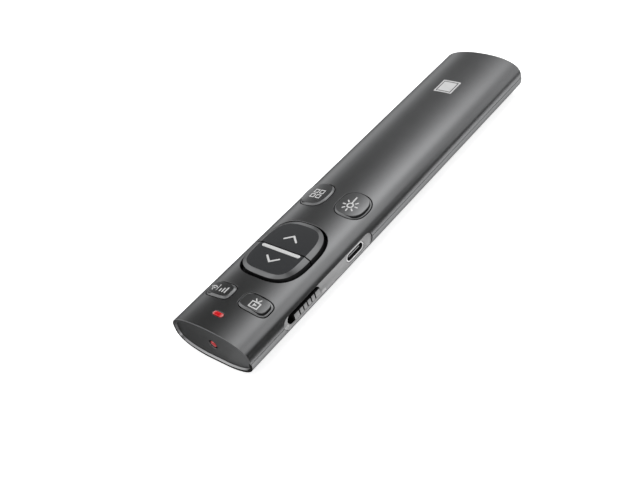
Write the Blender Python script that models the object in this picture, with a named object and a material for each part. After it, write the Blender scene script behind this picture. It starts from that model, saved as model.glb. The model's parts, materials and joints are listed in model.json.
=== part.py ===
# Laser pointer for presentations: a case in two halves, six keys, a thumb slide, a charging port
# and what they hold. Lengths are in metres. X runs across, with the charging port at +X.
# Y runs from the nose to the tail. Z is up.

import math

import bmesh
import bpy
from mathutils import Vector

# Case. The section is two curves that meet at the widest level, with a narrow flat below to lie on.
BODY_LENGTH = 0.1585
BODY_WIDTH = 0.0330
CROWN_RISE = 0.00738
BELLY_DROP = 0.00761
FLAT_TRIM = 0.00016
CROWN_ACROSS_POWER = 2.198
CROWN_UP_POWER = 2.692
BELLY_ACROSS_POWER = 2.314
BELLY_UP_POWER = 2.780
WALL = 0.0015
RIM_WALL = 0.0009
SEAM_DROP = 0.0004
SEAM_GAP = 0.0001
NOSE_ROUND = 0.00025
TAIL_ROUND = 0.0006
ARC_STEPS = 26
ROUND_STEPS = 3

# Clearances shared by the pieces.
FIT_GAP = 0.00015
REST_GAP = 0.0002
KEY_GAP = 0.0002
OVERRUN = 0.002

# Nose cap and laser module, on an axis a little under the widest level.
CAP_RECESS = 0.0008
CAP_THICKNESS = 0.0012
LASER_AXIS_DROP = 0.00035
APERTURE_RADIUS = 0.0016
WINDOW_SET_BACK = 0.0004
WINDOW_FLANGE = 0.0006
WINDOW_FLANGE_THICKNESS = 0.0004
BARREL_RADIUS = 0.0033
BARREL_LENGTH = 0.0074
BARREL_WALL = 0.0012
LENS_THICKNESS = 0.0015
LENS_SET_BACK = 0.0008
DIODE_FLANGE_RADIUS = 0.0027
DIODE_FLANGE_THICKNESS = 0.0010
DIODE_CAN_RADIUS = 0.0017
DIODE_CAN_LENGTH = 0.0022
DIODE_BACK_LENGTH = 0.0008
SADDLE_THICKNESS = 0.0012
SADDLE_OVERHANG = 0.0012
SADDLE_SHARES = (0.2, 0.8)

# Status light, a pill across the case near the nose.
LIGHT_FROM_NOSE = 0.00655
LIGHT_LENGTH = 0.0044
LIGHT_WIDTH = 0.0018
LIGHT_BAR_THICKNESS = 0.0010
LIGHT_LEG = 0.0016
LED_SIDE = 0.0016
LED_HEIGHT = 0.0007
LED_SIDE_GAP = 0.0010

# Key openings. An opening's inner edge is measured from the middle, and its margin from the case's side.
KEY_SIZES = {
    "small": {
        "from_nose": 0.01509, "inner_edge": 0.00195, "side_margin": 0.00305,
        "along": 0.00705, "power": 3.6,
    },
    "round": {
        "from_nose": 0.06440, "inner_edge": 0.00190, "side_margin": 0.00320,
        "along": 0.01205, "power": 2.6,
    },
}
PAGE_FROM_NOSE = 0.0373
PAGE_SIDE_MARGIN = 0.00435
PAGE_OPENING_ALONG = 0.0271
PAGE_OPENING_POWER = 3.0
OUTLINE_STEPS = 36

# Key caps.
KEY_PROUD = 0.0005
KEY_WALL = 0.0012
KEY_FLANGE = 0.0005
KEY_FLANGE_THICKNESS = 0.0006
KEY_FLANGE_RISE = 0.0019
KEY_POCKET_DEPTH = 0.0010
KEY_STEM_RADIUS = 0.0013
KEY_STEM_DROP = 0.0007
COLLAR_WALL = 0.0009
# A key's shoulder, as rise above the case and distance in from the key's side.
KEY_SHOULDER = (
    (0.00005, 0.0), (0.00030, 0.00012), (0.00044, 0.00032), (0.00050, 0.00060), (0.00054, 0.00090),
)
PAGE_GAP_ACROSS = 0.00075
PAGE_GAP_ALONG = 0.0008
PAGE_KEY_POWER = 3.2
PAGE_SLOPE_ACROSS = 0.0020
PAGE_SLOPE_ALONG = 0.00175
PAGE_TOP_POWER = 3.6
PAGE_TOP_RISE = 0.00057
PAGE_SIDE_RISE = 0.0003
PAGE_FLANGE_RISE = 0.00250
PAGE_SPLIT_FROM_NOSE = 0.0371
PAGE_SPLIT_GAP = 0.00025
PAGE_SWITCH_SHARE = 0.2

# Divider bar, let into the front half of the page key along the split.
BAR_END_ROOM = 0.0011
BAR_WIDTH = 0.0013
BAR_DEPTH = 0.0006
BAR_PROUD = 0.00006
BAR_FIT = 0.0001

# Side strip with the slide switch and the charging port, at +X.
STRIP_FRONT = 0.0156
STRIP_REAR = 0.0609
STRIP_HEIGHT = 0.0048
STRIP_SET_IN = 0.00037
STRIP_THICKNESS = 0.0012
STRIP_FLANGE = 0.0006
STRIP_FLANGE_THICKNESS = 0.0008
PORT_RISE = 0.00016
SLOT_FRONT = 0.0177
SLOT_LENGTH = 0.0158
SLOT_HEIGHT = 0.0032
SLIDER_TRAVEL = 0.0022
SLIDER_PROUD = 0.00033
SLIDER_PLATE = 0.0007
SLIDER_PLATE_LAP = 0.0006
SLIDER_PLATE_RISE = 0.0010
SLIDER_THUMB_ROOT = 0.0001
GROOVE_COUNT = 5
GROOVE_PITCH = 0.00185
GROOVE_WIDTH = 0.00055
GROOVE_DEPTH = 0.0006
SWITCH_BODY_ALONG = 0.0072
SWITCH_BODY_ACROSS = 0.0026
SWITCH_BODY_HEIGHT = 0.0026
LEVER_ALONG = 0.0014
LEVER_HEIGHT = 0.0011
LEVER_REACH = 0.0004
LEVER_ROOT = 0.0008

# Charging port.
PORT_FROM_NOSE = 0.0517
PORT_WIDTH = 0.00894
PORT_HEIGHT = 0.00326
PORT_WALL = 0.0003
PORT_DEPTH = 0.0073
PORT_SET_BACK = 0.00012
TONGUE_WIDTH = 0.0067
TONGUE_THICKNESS = 0.0007
TONGUE_SET_BACK = 0.0008
TONGUE_BLOCK = 0.0022

# Circuit board and what is on it.
BOARD_THICKNESS = 0.0010
BOARD_FRONT = 0.0045
BOARD_BEHIND_KEYS = 0.0196
BOARD_SIDE_GAP = 0.0025
BOARD_SLOT_GAP = 0.0003
SWITCH_SIDE = 0.0045
SWITCH_HEIGHT = 0.0016
PLUNGER_RADIUS = 0.0010
PLUNGER_HEIGHT = 0.0004
MAT_THICKNESS = 0.0006
MAT_EDGE = 0.0008
MAT_PORT_GAP = 0.0011
SKIRT_WALL = 0.0006
SKIRT_ROOM = 0.0002
CHIP_SIDE = 0.0050
CHIP_HEIGHT = 0.0009
CHARGER_SIDE = 0.0032
CAN_ACROSS = 0.0120
CAN_ALONG = 0.0100
CAN_HEIGHT = 0.0018
SOCKET_ACROSS = 0.0050
SOCKET_ALONG = 0.0035
SOCKET_HEIGHT = 0.0020
CHIP_SHARES = {"controller_chip": 0.52, "radio_can": 0.82, "charger_chip": 0.66}

# Battery, its foam pad and its leads.
BATTERY_BOARD_GAP = 0.0050
BATTERY_TAIL_ROOM = 0.0215
BATTERY_SIDE_ROOM = 0.0065
BATTERY_THICKNESS = 0.0060
BATTERY_ROUND = 0.0012
FOAM_THICKNESS = 0.0008
FOAM_EDGE = 0.0015
CRADLE_RISE = 0.0008
CRADLE_RIB = 0.0012
CRADLE_SHARES = (0.1, 0.37, 0.63, 0.9)
LEAD_RADIUS = 0.0004
LEAD_SPACING = 0.0014
LEAD_SOCKET_LAP = 0.0003

# Screws that hold the case halves together, from below.
SCREW_FROM_BOARD_SIDE = 0.0033
SCREW_FROM_BOARD_REAR = 0.0064
SCREW_REAR_FROM_TAIL = 0.0080
SCREW_SHANK_RADIUS = 0.0008
SCREW_HEAD_RADIUS = 0.0017
SCREW_HEAD_THICKNESS = 0.0011
SCREW_BITE = 0.0035
SCREW_SEAT = 0.0012
SCREW_DRIVE_WIDTH = 0.0005
SCREW_DRIVE_DEPTH = 0.0005
BOSS_WALL = 0.0012

# Places that follow from those sizes.
MIDDLE_Z = BELLY_DROP - FLAT_TRIM
NOSE_Y = -BODY_LENGTH / 2
TAIL_Y = BODY_LENGTH / 2
HALF_WIDTH = BODY_WIDTH / 2
PAGE_OPENING_ACROSS = BODY_WIDTH - 2 * PAGE_SIDE_MARGIN
PAGE_KEY_ACROSS = PAGE_OPENING_ACROSS - 2 * PAGE_GAP_ACROSS
PAGE_KEY_ALONG = PAGE_OPENING_ALONG - 2 * PAGE_GAP_ALONG
PAGE_TOP_ACROSS = PAGE_KEY_ACROSS - 2 * PAGE_SLOPE_ACROSS
PAGE_TOP_ALONG = PAGE_KEY_ALONG - 2 * PAGE_SLOPE_ALONG
BAR_LENGTH = PAGE_TOP_ACROSS - 2 * BAR_END_ROOM
SEAM_Z = MIDDLE_Z - SEAM_DROP
PORT_Z = MIDDLE_Z + PORT_RISE
BOARD_TOP = PORT_Z - PORT_HEIGHT / 2 - FIT_GAP
BOARD_BOTTOM = BOARD_TOP - BOARD_THICKNESS
BOARD_EDGE = HALF_WIDTH - WALL - BOARD_SIDE_GAP
BOARD_REAR = KEY_SIZES["round"]["from_nose"] + BOARD_BEHIND_KEYS
LASER_Z = MIDDLE_Z - LASER_AXIS_DROP
CAP_BACK = CAP_RECESS + CAP_THICKNESS
BARREL_FRONT = CAP_BACK + FIT_GAP + WINDOW_FLANGE_THICKNESS + FIT_GAP
BARREL_REAR = BARREL_FRONT + BARREL_LENGTH
FLANGE_BOTTOM = MIDDLE_Z + KEY_FLANGE_RISE
FLANGE_TOP = FLANGE_BOTTOM + KEY_FLANGE_THICKNESS
PAGE_FLANGE_BOTTOM = MIDDLE_Z + PAGE_FLANGE_RISE
PAGE_FLANGE_TOP = PAGE_FLANGE_BOTTOM + KEY_FLANGE_THICKNESS
STEM_BOTTOM = FLANGE_BOTTOM - KEY_STEM_DROP
PAGE_TOP = MIDDLE_Z + CROWN_RISE + PAGE_TOP_RISE
STRIP_FACE = HALF_WIDTH - STRIP_SET_IN
STRIP_BACK = STRIP_FACE - STRIP_THICKNESS
STRIP_INNER = STRIP_BACK - STRIP_FLANGE_THICKNESS
PORT_MOUTH = STRIP_FACE - PORT_SET_BACK
PORT_BACK = PORT_MOUTH - PORT_DEPTH
SLIDER_LENGTH = SLOT_LENGTH - SLIDER_TRAVEL - 2 * KEY_GAP
SLIDER_FRONT = SLOT_FRONT + SLIDER_TRAVEL + KEY_GAP
SLIDER_MIDDLE = SLIDER_FRONT + SLIDER_LENGTH / 2
PLATE_OUTER = STRIP_INNER - REST_GAP
PLATE_INNER = PLATE_OUTER - SLIDER_PLATE
BATTERY_FROM_NOSE = BOARD_REAR + BATTERY_BOARD_GAP
BATTERY_LENGTH = BODY_LENGTH - BATTERY_FROM_NOSE - BATTERY_TAIL_ROOM
BATTERY_WIDTH = BODY_WIDTH - 2 * BATTERY_SIDE_ROOM
CRADLE_TOP = WALL + CRADLE_RISE
FOAM_BOTTOM = CRADLE_TOP + FIT_GAP
BATTERY_BOTTOM = FOAM_BOTTOM + FOAM_THICKNESS + FIT_GAP
SCREW_FROM_MIDDLE = BOARD_EDGE - SCREW_FROM_BOARD_SIDE
SCREW_FRONT_FROM_NOSE = BOARD_REAR - SCREW_FROM_BOARD_REAR
SCREW_RADIUS_IN_CASE = SCREW_SHANK_RADIUS + FIT_GAP
BOSS_RADIUS = SCREW_RADIUS_IN_CASE + BOSS_WALL
HEAD_WELL_RADIUS = SCREW_HEAD_RADIUS + FIT_GAP


def from_nose(distance):
    return NOSE_Y + distance


# Curves of the case

def crown_z(x, inset=0):
    half = HALF_WIDTH - inset
    share = min(1, abs(x) / half)
    return MIDDLE_Z + (CROWN_RISE - inset) * (1 - share**CROWN_ACROSS_POWER) ** (1 / CROWN_UP_POWER)


def section_ring(y, inset=0):
    half = HALF_WIDTH - inset
    ring = []
    for step in range(2 * ARC_STEPS):
        angle = math.pi * step / ARC_STEPS
        across, up = math.cos(angle), math.sin(angle)
        if up >= 0:
            across_power, up_power, reach = CROWN_ACROSS_POWER, CROWN_UP_POWER, CROWN_RISE - inset
        else:
            across_power, up_power, reach = BELLY_ACROSS_POWER, BELLY_UP_POWER, BELLY_DROP - inset
        x = math.copysign(half * abs(across) ** (2 / across_power), across)
        z = MIDDLE_Z + math.copysign(reach * abs(up) ** (2 / up_power), up)
        ring.append(Vector((x, y, max(z, inset))))
    return ring


# Outlines are lists of pairs, anticlockwise

def superellipse(width, height, power, center=(0, 0)):
    points = []
    for step in range(OUTLINE_STEPS):
        angle = 2 * math.pi * step / OUTLINE_STEPS
        across, up = math.cos(angle), math.sin(angle)
        points.append((
            center[0] + math.copysign(width / 2 * abs(across) ** (2 / power), across),
            center[1] + math.copysign(height / 2 * abs(up) ** (2 / power), up),
        ))
    return points


def circle(radius, center=(0, 0), steps=24):
    return [
        (center[0] + radius * math.cos(2 * math.pi * step / steps),
         center[1] + radius * math.sin(2 * math.pi * step / steps))
        for step in range(steps)
    ]


def rounded_rectangle(width, height, corner, center=(0, 0), steps=6):
    corner = min(corner, width / 2, height / 2)
    points = []
    for quarter in range(4):
        side_x = 1 if quarter in (0, 3) else -1
        side_y = 1 if quarter in (0, 1) else -1
        middle_x = center[0] + side_x * (width / 2 - corner)
        middle_y = center[1] + side_y * (height / 2 - corner)
        for step in range(steps + 1):
            angle = math.pi / 2 * (quarter + step / steps)
            points.append((middle_x + corner * math.cos(angle), middle_y + corner * math.sin(angle)))
    return without_repeats(points)


def without_repeats(points):
    kept = []
    for point in points:
        if not kept or math.dist(point, kept[-1]) > FIT_GAP / 10:
            kept.append(point)
    if math.dist(kept[0], kept[-1]) <= FIT_GAP / 10:
        kept.pop()
    return kept


def rectangle(low, high):
    return [(low[0], low[1]), (high[0], low[1]), (high[0], high[1]), (low[0], high[1])]


# Solids

def material(name, color, roughness, metallic=0.0):
    made = bpy.data.materials.get(name)
    if made is None:
        made = bpy.data.materials.new(name)
        made.use_nodes = True
        shader = made.node_tree.nodes["Principled BSDF"]
        shader.inputs["Base Color"].default_value = (*color, 1)
        shader.inputs["Roughness"].default_value = roughness
        shader.inputs["Metallic"].default_value = metallic
    return made


def solid(name, shells, finish=None):
    # Each shell is a list of rings of equal length, joined in order and closed at both ends.
    work = bmesh.new()
    for rings in shells:
        rows = [[work.verts.new(point) for point in ring] for ring in rings]
        count = len(rows[0])
        for lower, upper in zip(rows, rows[1:]):
            for step in range(count):
                after = (step + 1) % count
                work.faces.new((lower[step], lower[after], upper[after], upper[step]))
        work.faces.new(list(reversed(rows[0])))
        work.faces.new(rows[-1])
    bmesh.ops.recalc_face_normals(work, faces=work.faces)
    mesh = bpy.data.meshes.new(name)
    work.to_mesh(mesh)
    work.free()
    mesh.shade_smooth()
    mesh.set_sharp_from_angle(angle=math.radians(30))
    made = bpy.data.objects.new(name, mesh)
    bpy.context.scene.collection.objects.link(made)
    if finish:
        made.data.materials.append(finish)
    return made


def upright(outline, bottom, top):
    return [[Vector((x, y, z)) for x, y in outline] for z in (bottom, top)]


def along_y(outline, front, rear):
    # The outline's pairs are x and z.
    return [[Vector((x, y, z)) for x, z in outline] for y in (front, rear)]


def along_x(outline, inner, outer):
    # The outline's pairs are y and z.
    return [[Vector((x, y, z)) for y, z in outline] for x in (inner, outer)]


def box(low, high):
    return upright(rectangle(low, high), low[2], high[2])


def turned(profile, y_axis_z):
    # Rings round an axis along Y, for pairs of distance along Y and radius.
    return [
        [Vector((x, y, z)) for x, z in circle(radius, (0, y_axis_z))]
        for y, radius in profile
    ]


def helper(name, shells):
    made = solid(name, shells)
    made.hide_render = True
    made.display_type = "WIRE"
    return made


def shape(target, operation, tool):
    step = target.modifiers.new(operation.lower() + " " + tool.name, "BOOLEAN")
    step.operation = operation
    step.object = tool
    step.solver = "EXACT"


def cut(target, tool):
    shape(target, "DIFFERENCE", tool)


def join(target, tool):
    shape(target, "UNION", tool)


# Finishes

def finishes():
    return {
        "case": material("satin graphite", (0.115, 0.117, 0.120), 0.38, 0.55),
        "dark": material("charcoal key top", (0.045, 0.046, 0.048), 0.45),
        "strip": material("side strip grey", (0.23, 0.23, 0.235), 0.42, 0.4),
        "silver": material("bright silver", (0.80, 0.80, 0.80), 0.25, 0.9),
        "red": material("red lens", (0.70, 0.02, 0.03), 0.12),
        "brass": material("brass barrel", (0.62, 0.46, 0.20), 0.30, 1.0),
        "steel": material("plated steel", (0.62, 0.62, 0.63), 0.28, 1.0),
        "clear": material("clear lens", (0.90, 0.92, 0.94), 0.05),
        "board": material("board green", (0.02, 0.10, 0.05), 0.50),
        "black": material("black moulding", (0.015, 0.015, 0.016), 0.50),
        "silicone": material("grey silicone", (0.30, 0.30, 0.31), 0.70),
        "foil": material("battery foil", (0.68, 0.68, 0.70), 0.35, 0.9),
        "foam": material("black foam", (0.02, 0.02, 0.02), 0.95),
        "red wire": material("red lead", (0.55, 0.02, 0.02), 0.50),
        "white": material("white lamp", (0.85, 0.85, 0.82), 0.40),
    }


# Key outlines, grown outwards by a distance

def key_edges(kind):
    return KEY_SIZES[kind]["inner_edge"], HALF_WIDTH - KEY_SIZES[kind]["side_margin"]


def key_middle(kind, side):
    return side * sum(key_edges(kind)) / 2, from_nose(KEY_SIZES[kind]["from_nose"])


def key_outline(kind, side, grow):
    inner, outer = key_edges(kind)
    across, along = outer - inner + 2 * grow, KEY_SIZES[kind]["along"] + 2 * grow
    return superellipse(across, along, KEY_SIZES[kind]["power"], key_middle(kind, side))


def page_outline(grow):
    across, along = PAGE_OPENING_ACROSS + 2 * grow, PAGE_OPENING_ALONG + 2 * grow
    return superellipse(across, along, PAGE_OPENING_POWER, (0, from_nose(PAGE_FROM_NOSE)))


def page_key_outline(grow):
    across, along = PAGE_KEY_ACROSS + 2 * grow, PAGE_KEY_ALONG + 2 * grow
    return superellipse(across, along, PAGE_KEY_POWER, (0, from_nose(PAGE_FROM_NOSE)))


SMALL_AND_ROUND_KEYS = {
    "signal": ("small", -1),
    "screen": ("small", 1),
    "menu": ("round", -1),
    "laser": ("round", 1),
}


# Cutters that both case halves share

def case_cavity():
    front_ys = (NOSE_Y - OVERRUN, from_nose(CAP_BACK + FIT_GAP))
    front = [section_ring(y, RIM_WALL) for y in front_ys]
    main = [section_ring(y, WALL) for y in (from_nose(CAP_BACK), TAIL_Y - WALL)]
    return helper("nose_counterbore", [front]), helper("case_cavity", [main])


def strip_outline(grow):
    length = STRIP_REAR - STRIP_FRONT
    middle = (from_nose((STRIP_FRONT + STRIP_REAR) / 2), MIDDLE_Z)
    radius = STRIP_HEIGHT / 2 + grow
    return rounded_rectangle(length + 2 * grow, 2 * radius, radius, middle, 8)


def strip_window():
    outer = along_x(strip_outline(FIT_GAP), STRIP_BACK - OVERRUN, HALF_WIDTH + OVERRUN)
    room = along_x(strip_outline(STRIP_FLANGE + FIT_GAP), STRIP_INNER - OVERRUN, STRIP_BACK)
    return helper("strip_window", [outer]), helper("strip_flange_room", [room])


def screw_places():
    ys = (from_nose(SCREW_FRONT_FROM_NOSE), TAIL_Y - SCREW_REAR_FROM_TAIL)
    return [(side * SCREW_FROM_MIDDLE, y) for y in ys for side in (-1, 1)]


def seat_z():
    # Height of the face under each screw head.
    return WALL + SCREW_SEAT


def outer_case(name, finish):
    # Shares of the tail's rounding, as distance from the tail and distance inwards.
    rounded = []
    for step in range(ROUND_STEPS + 1):
        angle = math.pi / 2 * step / ROUND_STEPS
        rounded.append((1 - math.sin(angle), 1 - math.cos(angle)))
    nose = [section_ring(NOSE_Y, NOSE_ROUND), section_ring(NOSE_Y + NOSE_ROUND)]
    tail = [section_ring(TAIL_Y - TAIL_ROUND * near, TAIL_ROUND * inward) for near, inward in rounded]
    made = solid(name, [nose + tail], finish)
    return made


def case_halves(looks):
    counterbore, cavity = case_cavity()
    window, flange_room = strip_window()
    low = (-BODY_WIDTH, NOSE_Y - OVERRUN)
    high = (BODY_WIDTH, TAIL_Y + OVERRUN)
    below = helper("below_seam", [box((*low, -OVERRUN), (*high, SEAM_Z + SEAM_GAP / 2))])
    above = helper("above_seam", [box((*low, SEAM_Z - SEAM_GAP / 2), (*high, 2 * BODY_WIDTH))])
    top = outer_case("top_shell", looks["case"])
    bottom = outer_case("bottom_shell", looks["case"])
    for half, other_side in ((top, below), (bottom, above)):
        cut(half, other_side)
        cut(half, counterbore)
        cut(half, cavity)
    finish_top(top, window, flange_room)
    finish_bottom(bottom, window, flange_room)
    return top, bottom


def wall_middle_ring(outline):
    # The outline lifted to the middle of the case's wall.
    return [Vector((x, y, crown_z(x, WALL / 2))) for x, y in outline]


def collar(outline, bottom):
    return [[Vector((x, y, bottom)) for x, y in outline], wall_middle_ring(outline)]


def finish_top(top, window, flange_room):
    for name, kind in SMALL_AND_ROUND_KEYS.items():
        tube = collar(key_outline(*kind, COLLAR_WALL), FLANGE_TOP + REST_GAP)
        join(top, helper(name + "_collar", [tube]))
    join(top, helper("page_collar", [collar(page_outline(COLLAR_WALL), PAGE_FLANGE_TOP + REST_GAP)]))
    for number, place in enumerate(screw_places(), 1):
        bottom = BOARD_TOP + FIT_GAP if place[1] < from_nose(BOARD_REAR) else SEAM_Z + SEAM_GAP / 2
        join(top, helper("top_boss_%d" % number, [collar(circle(BOSS_RADIUS, place, 16), bottom)]))
    cut(top, window)
    cut(top, flange_room)
    outlines = [key_outline(*kind, 0) for kind in SMALL_AND_ROUND_KEYS.values()]
    outlines += [page_outline(0), light_outline(0)]
    openings = [upright(outline, MIDDLE_Z, PAGE_TOP + OVERRUN) for outline in outlines]
    cut(top, helper("key_openings", openings))
    pilots = []
    for x, y in screw_places():
        hole = circle(SCREW_RADIUS_IN_CASE, (x, y), 16)
        pilots.append(upright(hole, SEAM_Z - OVERRUN - SEAM_DROP, screw_tip() + FIT_GAP))
    cut(top, helper("top_pilot_holes", pilots))


def screw_tip():
    return BOARD_TOP + FIT_GAP + SCREW_BITE


def barrel_cutter():
    radius = BARREL_RADIUS + FIT_GAP
    profile = [(from_nose(CAP_BACK), radius), (from_nose(BARREL_REAR) + OVERRUN, radius)]
    return helper("barrel_room", [turned(profile, LASER_Z)])


def finish_bottom(bottom, window, flange_room):
    saddle_half = BARREL_RADIUS + SADDLE_OVERHANG
    for number, share in enumerate(SADDLE_SHARES, 1):
        y = from_nose(BARREL_FRONT + share * BARREL_LENGTH)
        low = (-saddle_half, y - SADDLE_THICKNESS / 2, WALL / 2)
        high = (saddle_half, y + SADDLE_THICKNESS / 2, BOARD_BOTTOM - FIT_GAP)
        join(bottom, helper("saddle_%d" % number, [box(low, high)]))
    for number, share in enumerate(CRADLE_SHARES, 1):
        y = from_nose(BATTERY_FROM_NOSE + share * BATTERY_LENGTH)
        half = BATTERY_WIDTH / 2 - FOAM_EDGE
        low = (-half, y - CRADLE_RIB / 2, WALL / 2)
        high = (half, y + CRADLE_RIB / 2, CRADLE_TOP)
        join(bottom, helper("cradle_rib_%d" % number, [box(low, high)]))
    wells = []
    for number, place in enumerate(screw_places(), 1):
        top = BOARD_BOTTOM - FIT_GAP if place[1] < from_nose(BOARD_REAR) else SEAM_Z - SEAM_GAP / 2
        outline = circle(HEAD_WELL_RADIUS + BOSS_WALL / 2, place, 16)
        join(bottom, helper("bottom_boss_%d" % number, [upright(outline, boss_root(), top)]))
        wells.append(upright(circle(HEAD_WELL_RADIUS, place, 16), -OVERRUN, seat_z()))
    cut(bottom, barrel_cutter())
    cut(bottom, window)
    cut(bottom, flange_room)
    holes = []
    for place in screw_places():
        hole = circle(SCREW_RADIUS_IN_CASE, place, 16)
        holes.append(upright(hole, seat_z() - OVERRUN / 2, MIDDLE_Z + OVERRUN))
    cut(bottom, helper("screw_wells", wells))
    cut(bottom, helper("screw_holes", holes))


def boss_root():
    # Inside the wall beneath the outermost point of a screw boss.
    x = SCREW_FROM_MIDDLE + HEAD_WELL_RADIUS + BOSS_WALL / 2
    share = x / (HALF_WIDTH - WALL / 2)
    return MIDDLE_Z - (BELLY_DROP - WALL / 2) * (1 - share**BELLY_ACROSS_POWER) ** (1 / BELLY_UP_POWER)


# Nose cap and laser module

def nose_cap(looks):
    ys = (from_nose(CAP_RECESS), from_nose(CAP_BACK))
    cap = solid("nose_cap", [[section_ring(y, RIM_WALL + FIT_GAP) for y in ys]], looks["case"])
    hole = [(ys[0] - OVERRUN, APERTURE_RADIUS), (ys[1] + OVERRUN, APERTURE_RADIUS)]
    cut(cap, helper("aperture", [turned(hole, LASER_Z)]))


def laser_module(looks):
    plug = APERTURE_RADIUS - FIT_GAP
    flange = APERTURE_RADIUS + WINDOW_FLANGE
    flange_front = CAP_BACK + FIT_GAP
    flange_back = flange_front + WINDOW_FLANGE_THICKNESS
    window = [
        (CAP_RECESS + WINDOW_SET_BACK, plug), (flange_front, plug),
        (flange_front, flange), (flange_back, flange),
    ]
    solid("laser_window", [turned([(from_nose(y), r) for y, r in window], LASER_Z)], looks["red"])
    ends = [(from_nose(y), BARREL_RADIUS) for y in (BARREL_FRONT, BARREL_REAR)]
    barrel = solid("laser_barrel", [turned(ends, LASER_Z)], looks["brass"])
    bore = BARREL_RADIUS - BARREL_WALL
    diode_room = DIODE_FLANGE_RADIUS + FIT_GAP
    shoulder = BARREL_REAR - DIODE_FLANGE_THICKNESS - FIT_GAP
    profile = [
        (BARREL_FRONT - OVERRUN, bore), (shoulder, bore),
        (shoulder, diode_room), (BARREL_REAR + OVERRUN, diode_room),
    ]
    cut(barrel, helper("barrel_bore", [turned([(from_nose(y), r) for y, r in profile], LASER_Z)]))
    lens_front = BARREL_FRONT + LENS_SET_BACK
    lens_radius = bore - FIT_GAP
    # The lens bulges towards the diode: shares of its thickness and of its radius.
    lens_shares = ((0, 1), (0.45, 1), (0.7, 0.8), (0.9, 0.5), (1, 0.2))
    lens = [(from_nose(lens_front + LENS_THICKNESS * deep), lens_radius * wide) for deep, wide in lens_shares]
    solid("laser_lens", [turned(lens, LASER_Z)], looks["clear"])
    flange_y = shoulder + FIT_GAP / 2
    diode = [
        (flange_y - DIODE_CAN_LENGTH, DIODE_CAN_RADIUS), (flange_y, DIODE_CAN_RADIUS),
        (flange_y, DIODE_FLANGE_RADIUS), (flange_y + DIODE_FLANGE_THICKNESS, DIODE_FLANGE_RADIUS),
        (flange_y + DIODE_FLANGE_THICKNESS, DIODE_CAN_RADIUS),
        (flange_y + DIODE_FLANGE_THICKNESS + DIODE_BACK_LENGTH, DIODE_CAN_RADIUS),
    ]
    solid("laser_diode", [turned([(from_nose(y), r) for y, r in diode], LASER_Z)], looks["steel"])


# Status light

def light_outline(grow):
    width = LIGHT_WIDTH + 2 * grow
    return rounded_rectangle(LIGHT_LENGTH + 2 * grow, width, width / 2, (0, from_nose(LIGHT_FROM_NOSE)))


def light_leg_x():
    return BARREL_RADIUS + LED_SIDE_GAP + LED_SIDE / 2


def status_light(looks):
    outline = light_outline(-FIT_GAP)
    roof = crown_z(light_leg_x() + LIGHT_LEG / 2, WALL) - FIT_GAP
    plug = [[Vector((x, y, roof - LIGHT_BAR_THICKNESS / 2)) for x, y in outline],
            [Vector((x, y, crown_z(x))) for x, y in outline]]
    light = solid("status_light", [plug], looks["red"])
    y = from_nose(LIGHT_FROM_NOSE)
    bar_low = (-LIGHT_LENGTH / 2, y - LIGHT_LEG / 2, roof - LIGHT_BAR_THICKNESS)
    bar_high = (light_leg_x() + LIGHT_LEG / 2, y + LIGHT_LEG / 2, roof)
    leg_low = (light_leg_x() - LIGHT_LEG / 2, y - LIGHT_LEG / 2, BOARD_TOP + LED_HEIGHT + 2 * REST_GAP)
    guide = solid_bar("light_guide", bar_low, bar_high, leg_low)
    join(light, guide)
    low = (light_leg_x() - LED_SIDE / 2, y - LED_SIDE / 2, BOARD_TOP + FIT_GAP)
    high = (light_leg_x() + LED_SIDE / 2, y + LED_SIDE / 2, BOARD_TOP + FIT_GAP + LED_HEIGHT)
    solid("status_led", [box(low, high)], looks["white"])


def solid_bar(name, bar_low, bar_high, leg_low):
    # An upside-down L in the plane of X and Z: a bar with a leg down at its +X end.
    outline = [
        (bar_low[0], bar_low[2]), (leg_low[0], bar_low[2]), (leg_low[0], leg_low[2]),
        (bar_high[0], leg_low[2]), (bar_high[0], bar_high[2]), (bar_low[0], bar_high[2]),
    ]
    return helper(name, [along_y(outline, bar_low[1], bar_high[1])])


# Keys

def hollow_and_stem(key, name, pocket, roof, stem_middle):
    cut(key, helper(name + "_pocket", [upright(pocket, STEM_BOTTOM, roof)]))
    stem = upright(circle(KEY_STEM_RADIUS, stem_middle, 16), STEM_BOTTOM, roof + KEY_WALL / 2)
    join(key, helper(name + "_stem", [stem]))


def small_and_round_keys(looks):
    raised = [section_ring(NOSE_Y, -KEY_PROUD), section_ring(TAIL_Y, -KEY_PROUD)]
    envelope = helper("key_envelope", [raised])
    for name, (kind, side) in SMALL_AND_ROUND_KEYS.items():
        side_wall = key_outline(kind, side, -KEY_GAP)
        rings = [[Vector((x, y, FLANGE_BOTTOM)) for x, y in side_wall]]
        for rise, inward in KEY_SHOULDER:
            outline = key_outline(kind, side, -KEY_GAP - inward)
            rings.append([Vector((x, y, crown_z(x) + rise)) for x, y in outline])
        rings.append([Vector((x, y, PAGE_TOP + OVERRUN)) for x, y in outline])
        key = solid(name + "_key", [rings], looks["case"])
        shape(key, "INTERSECT", envelope)
        roof = crown_z(key_edges(kind)[1] - KEY_GAP, KEY_WALL) - KEY_POCKET_DEPTH / 2
        flange = upright(key_outline(kind, side, KEY_FLANGE - KEY_GAP), FLANGE_BOTTOM, FLANGE_TOP)
        join(key, helper(name + "_flange", [flange]))
        pocket = key_outline(kind, side, -KEY_GAP - KEY_WALL)
        hollow_and_stem(key, name, pocket, roof, key_middle(kind, side))


def page_switch_y(side):
    return from_nose(PAGE_FROM_NOSE) + side * PAGE_OPENING_ALONG * PAGE_SWITCH_SHARE


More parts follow.
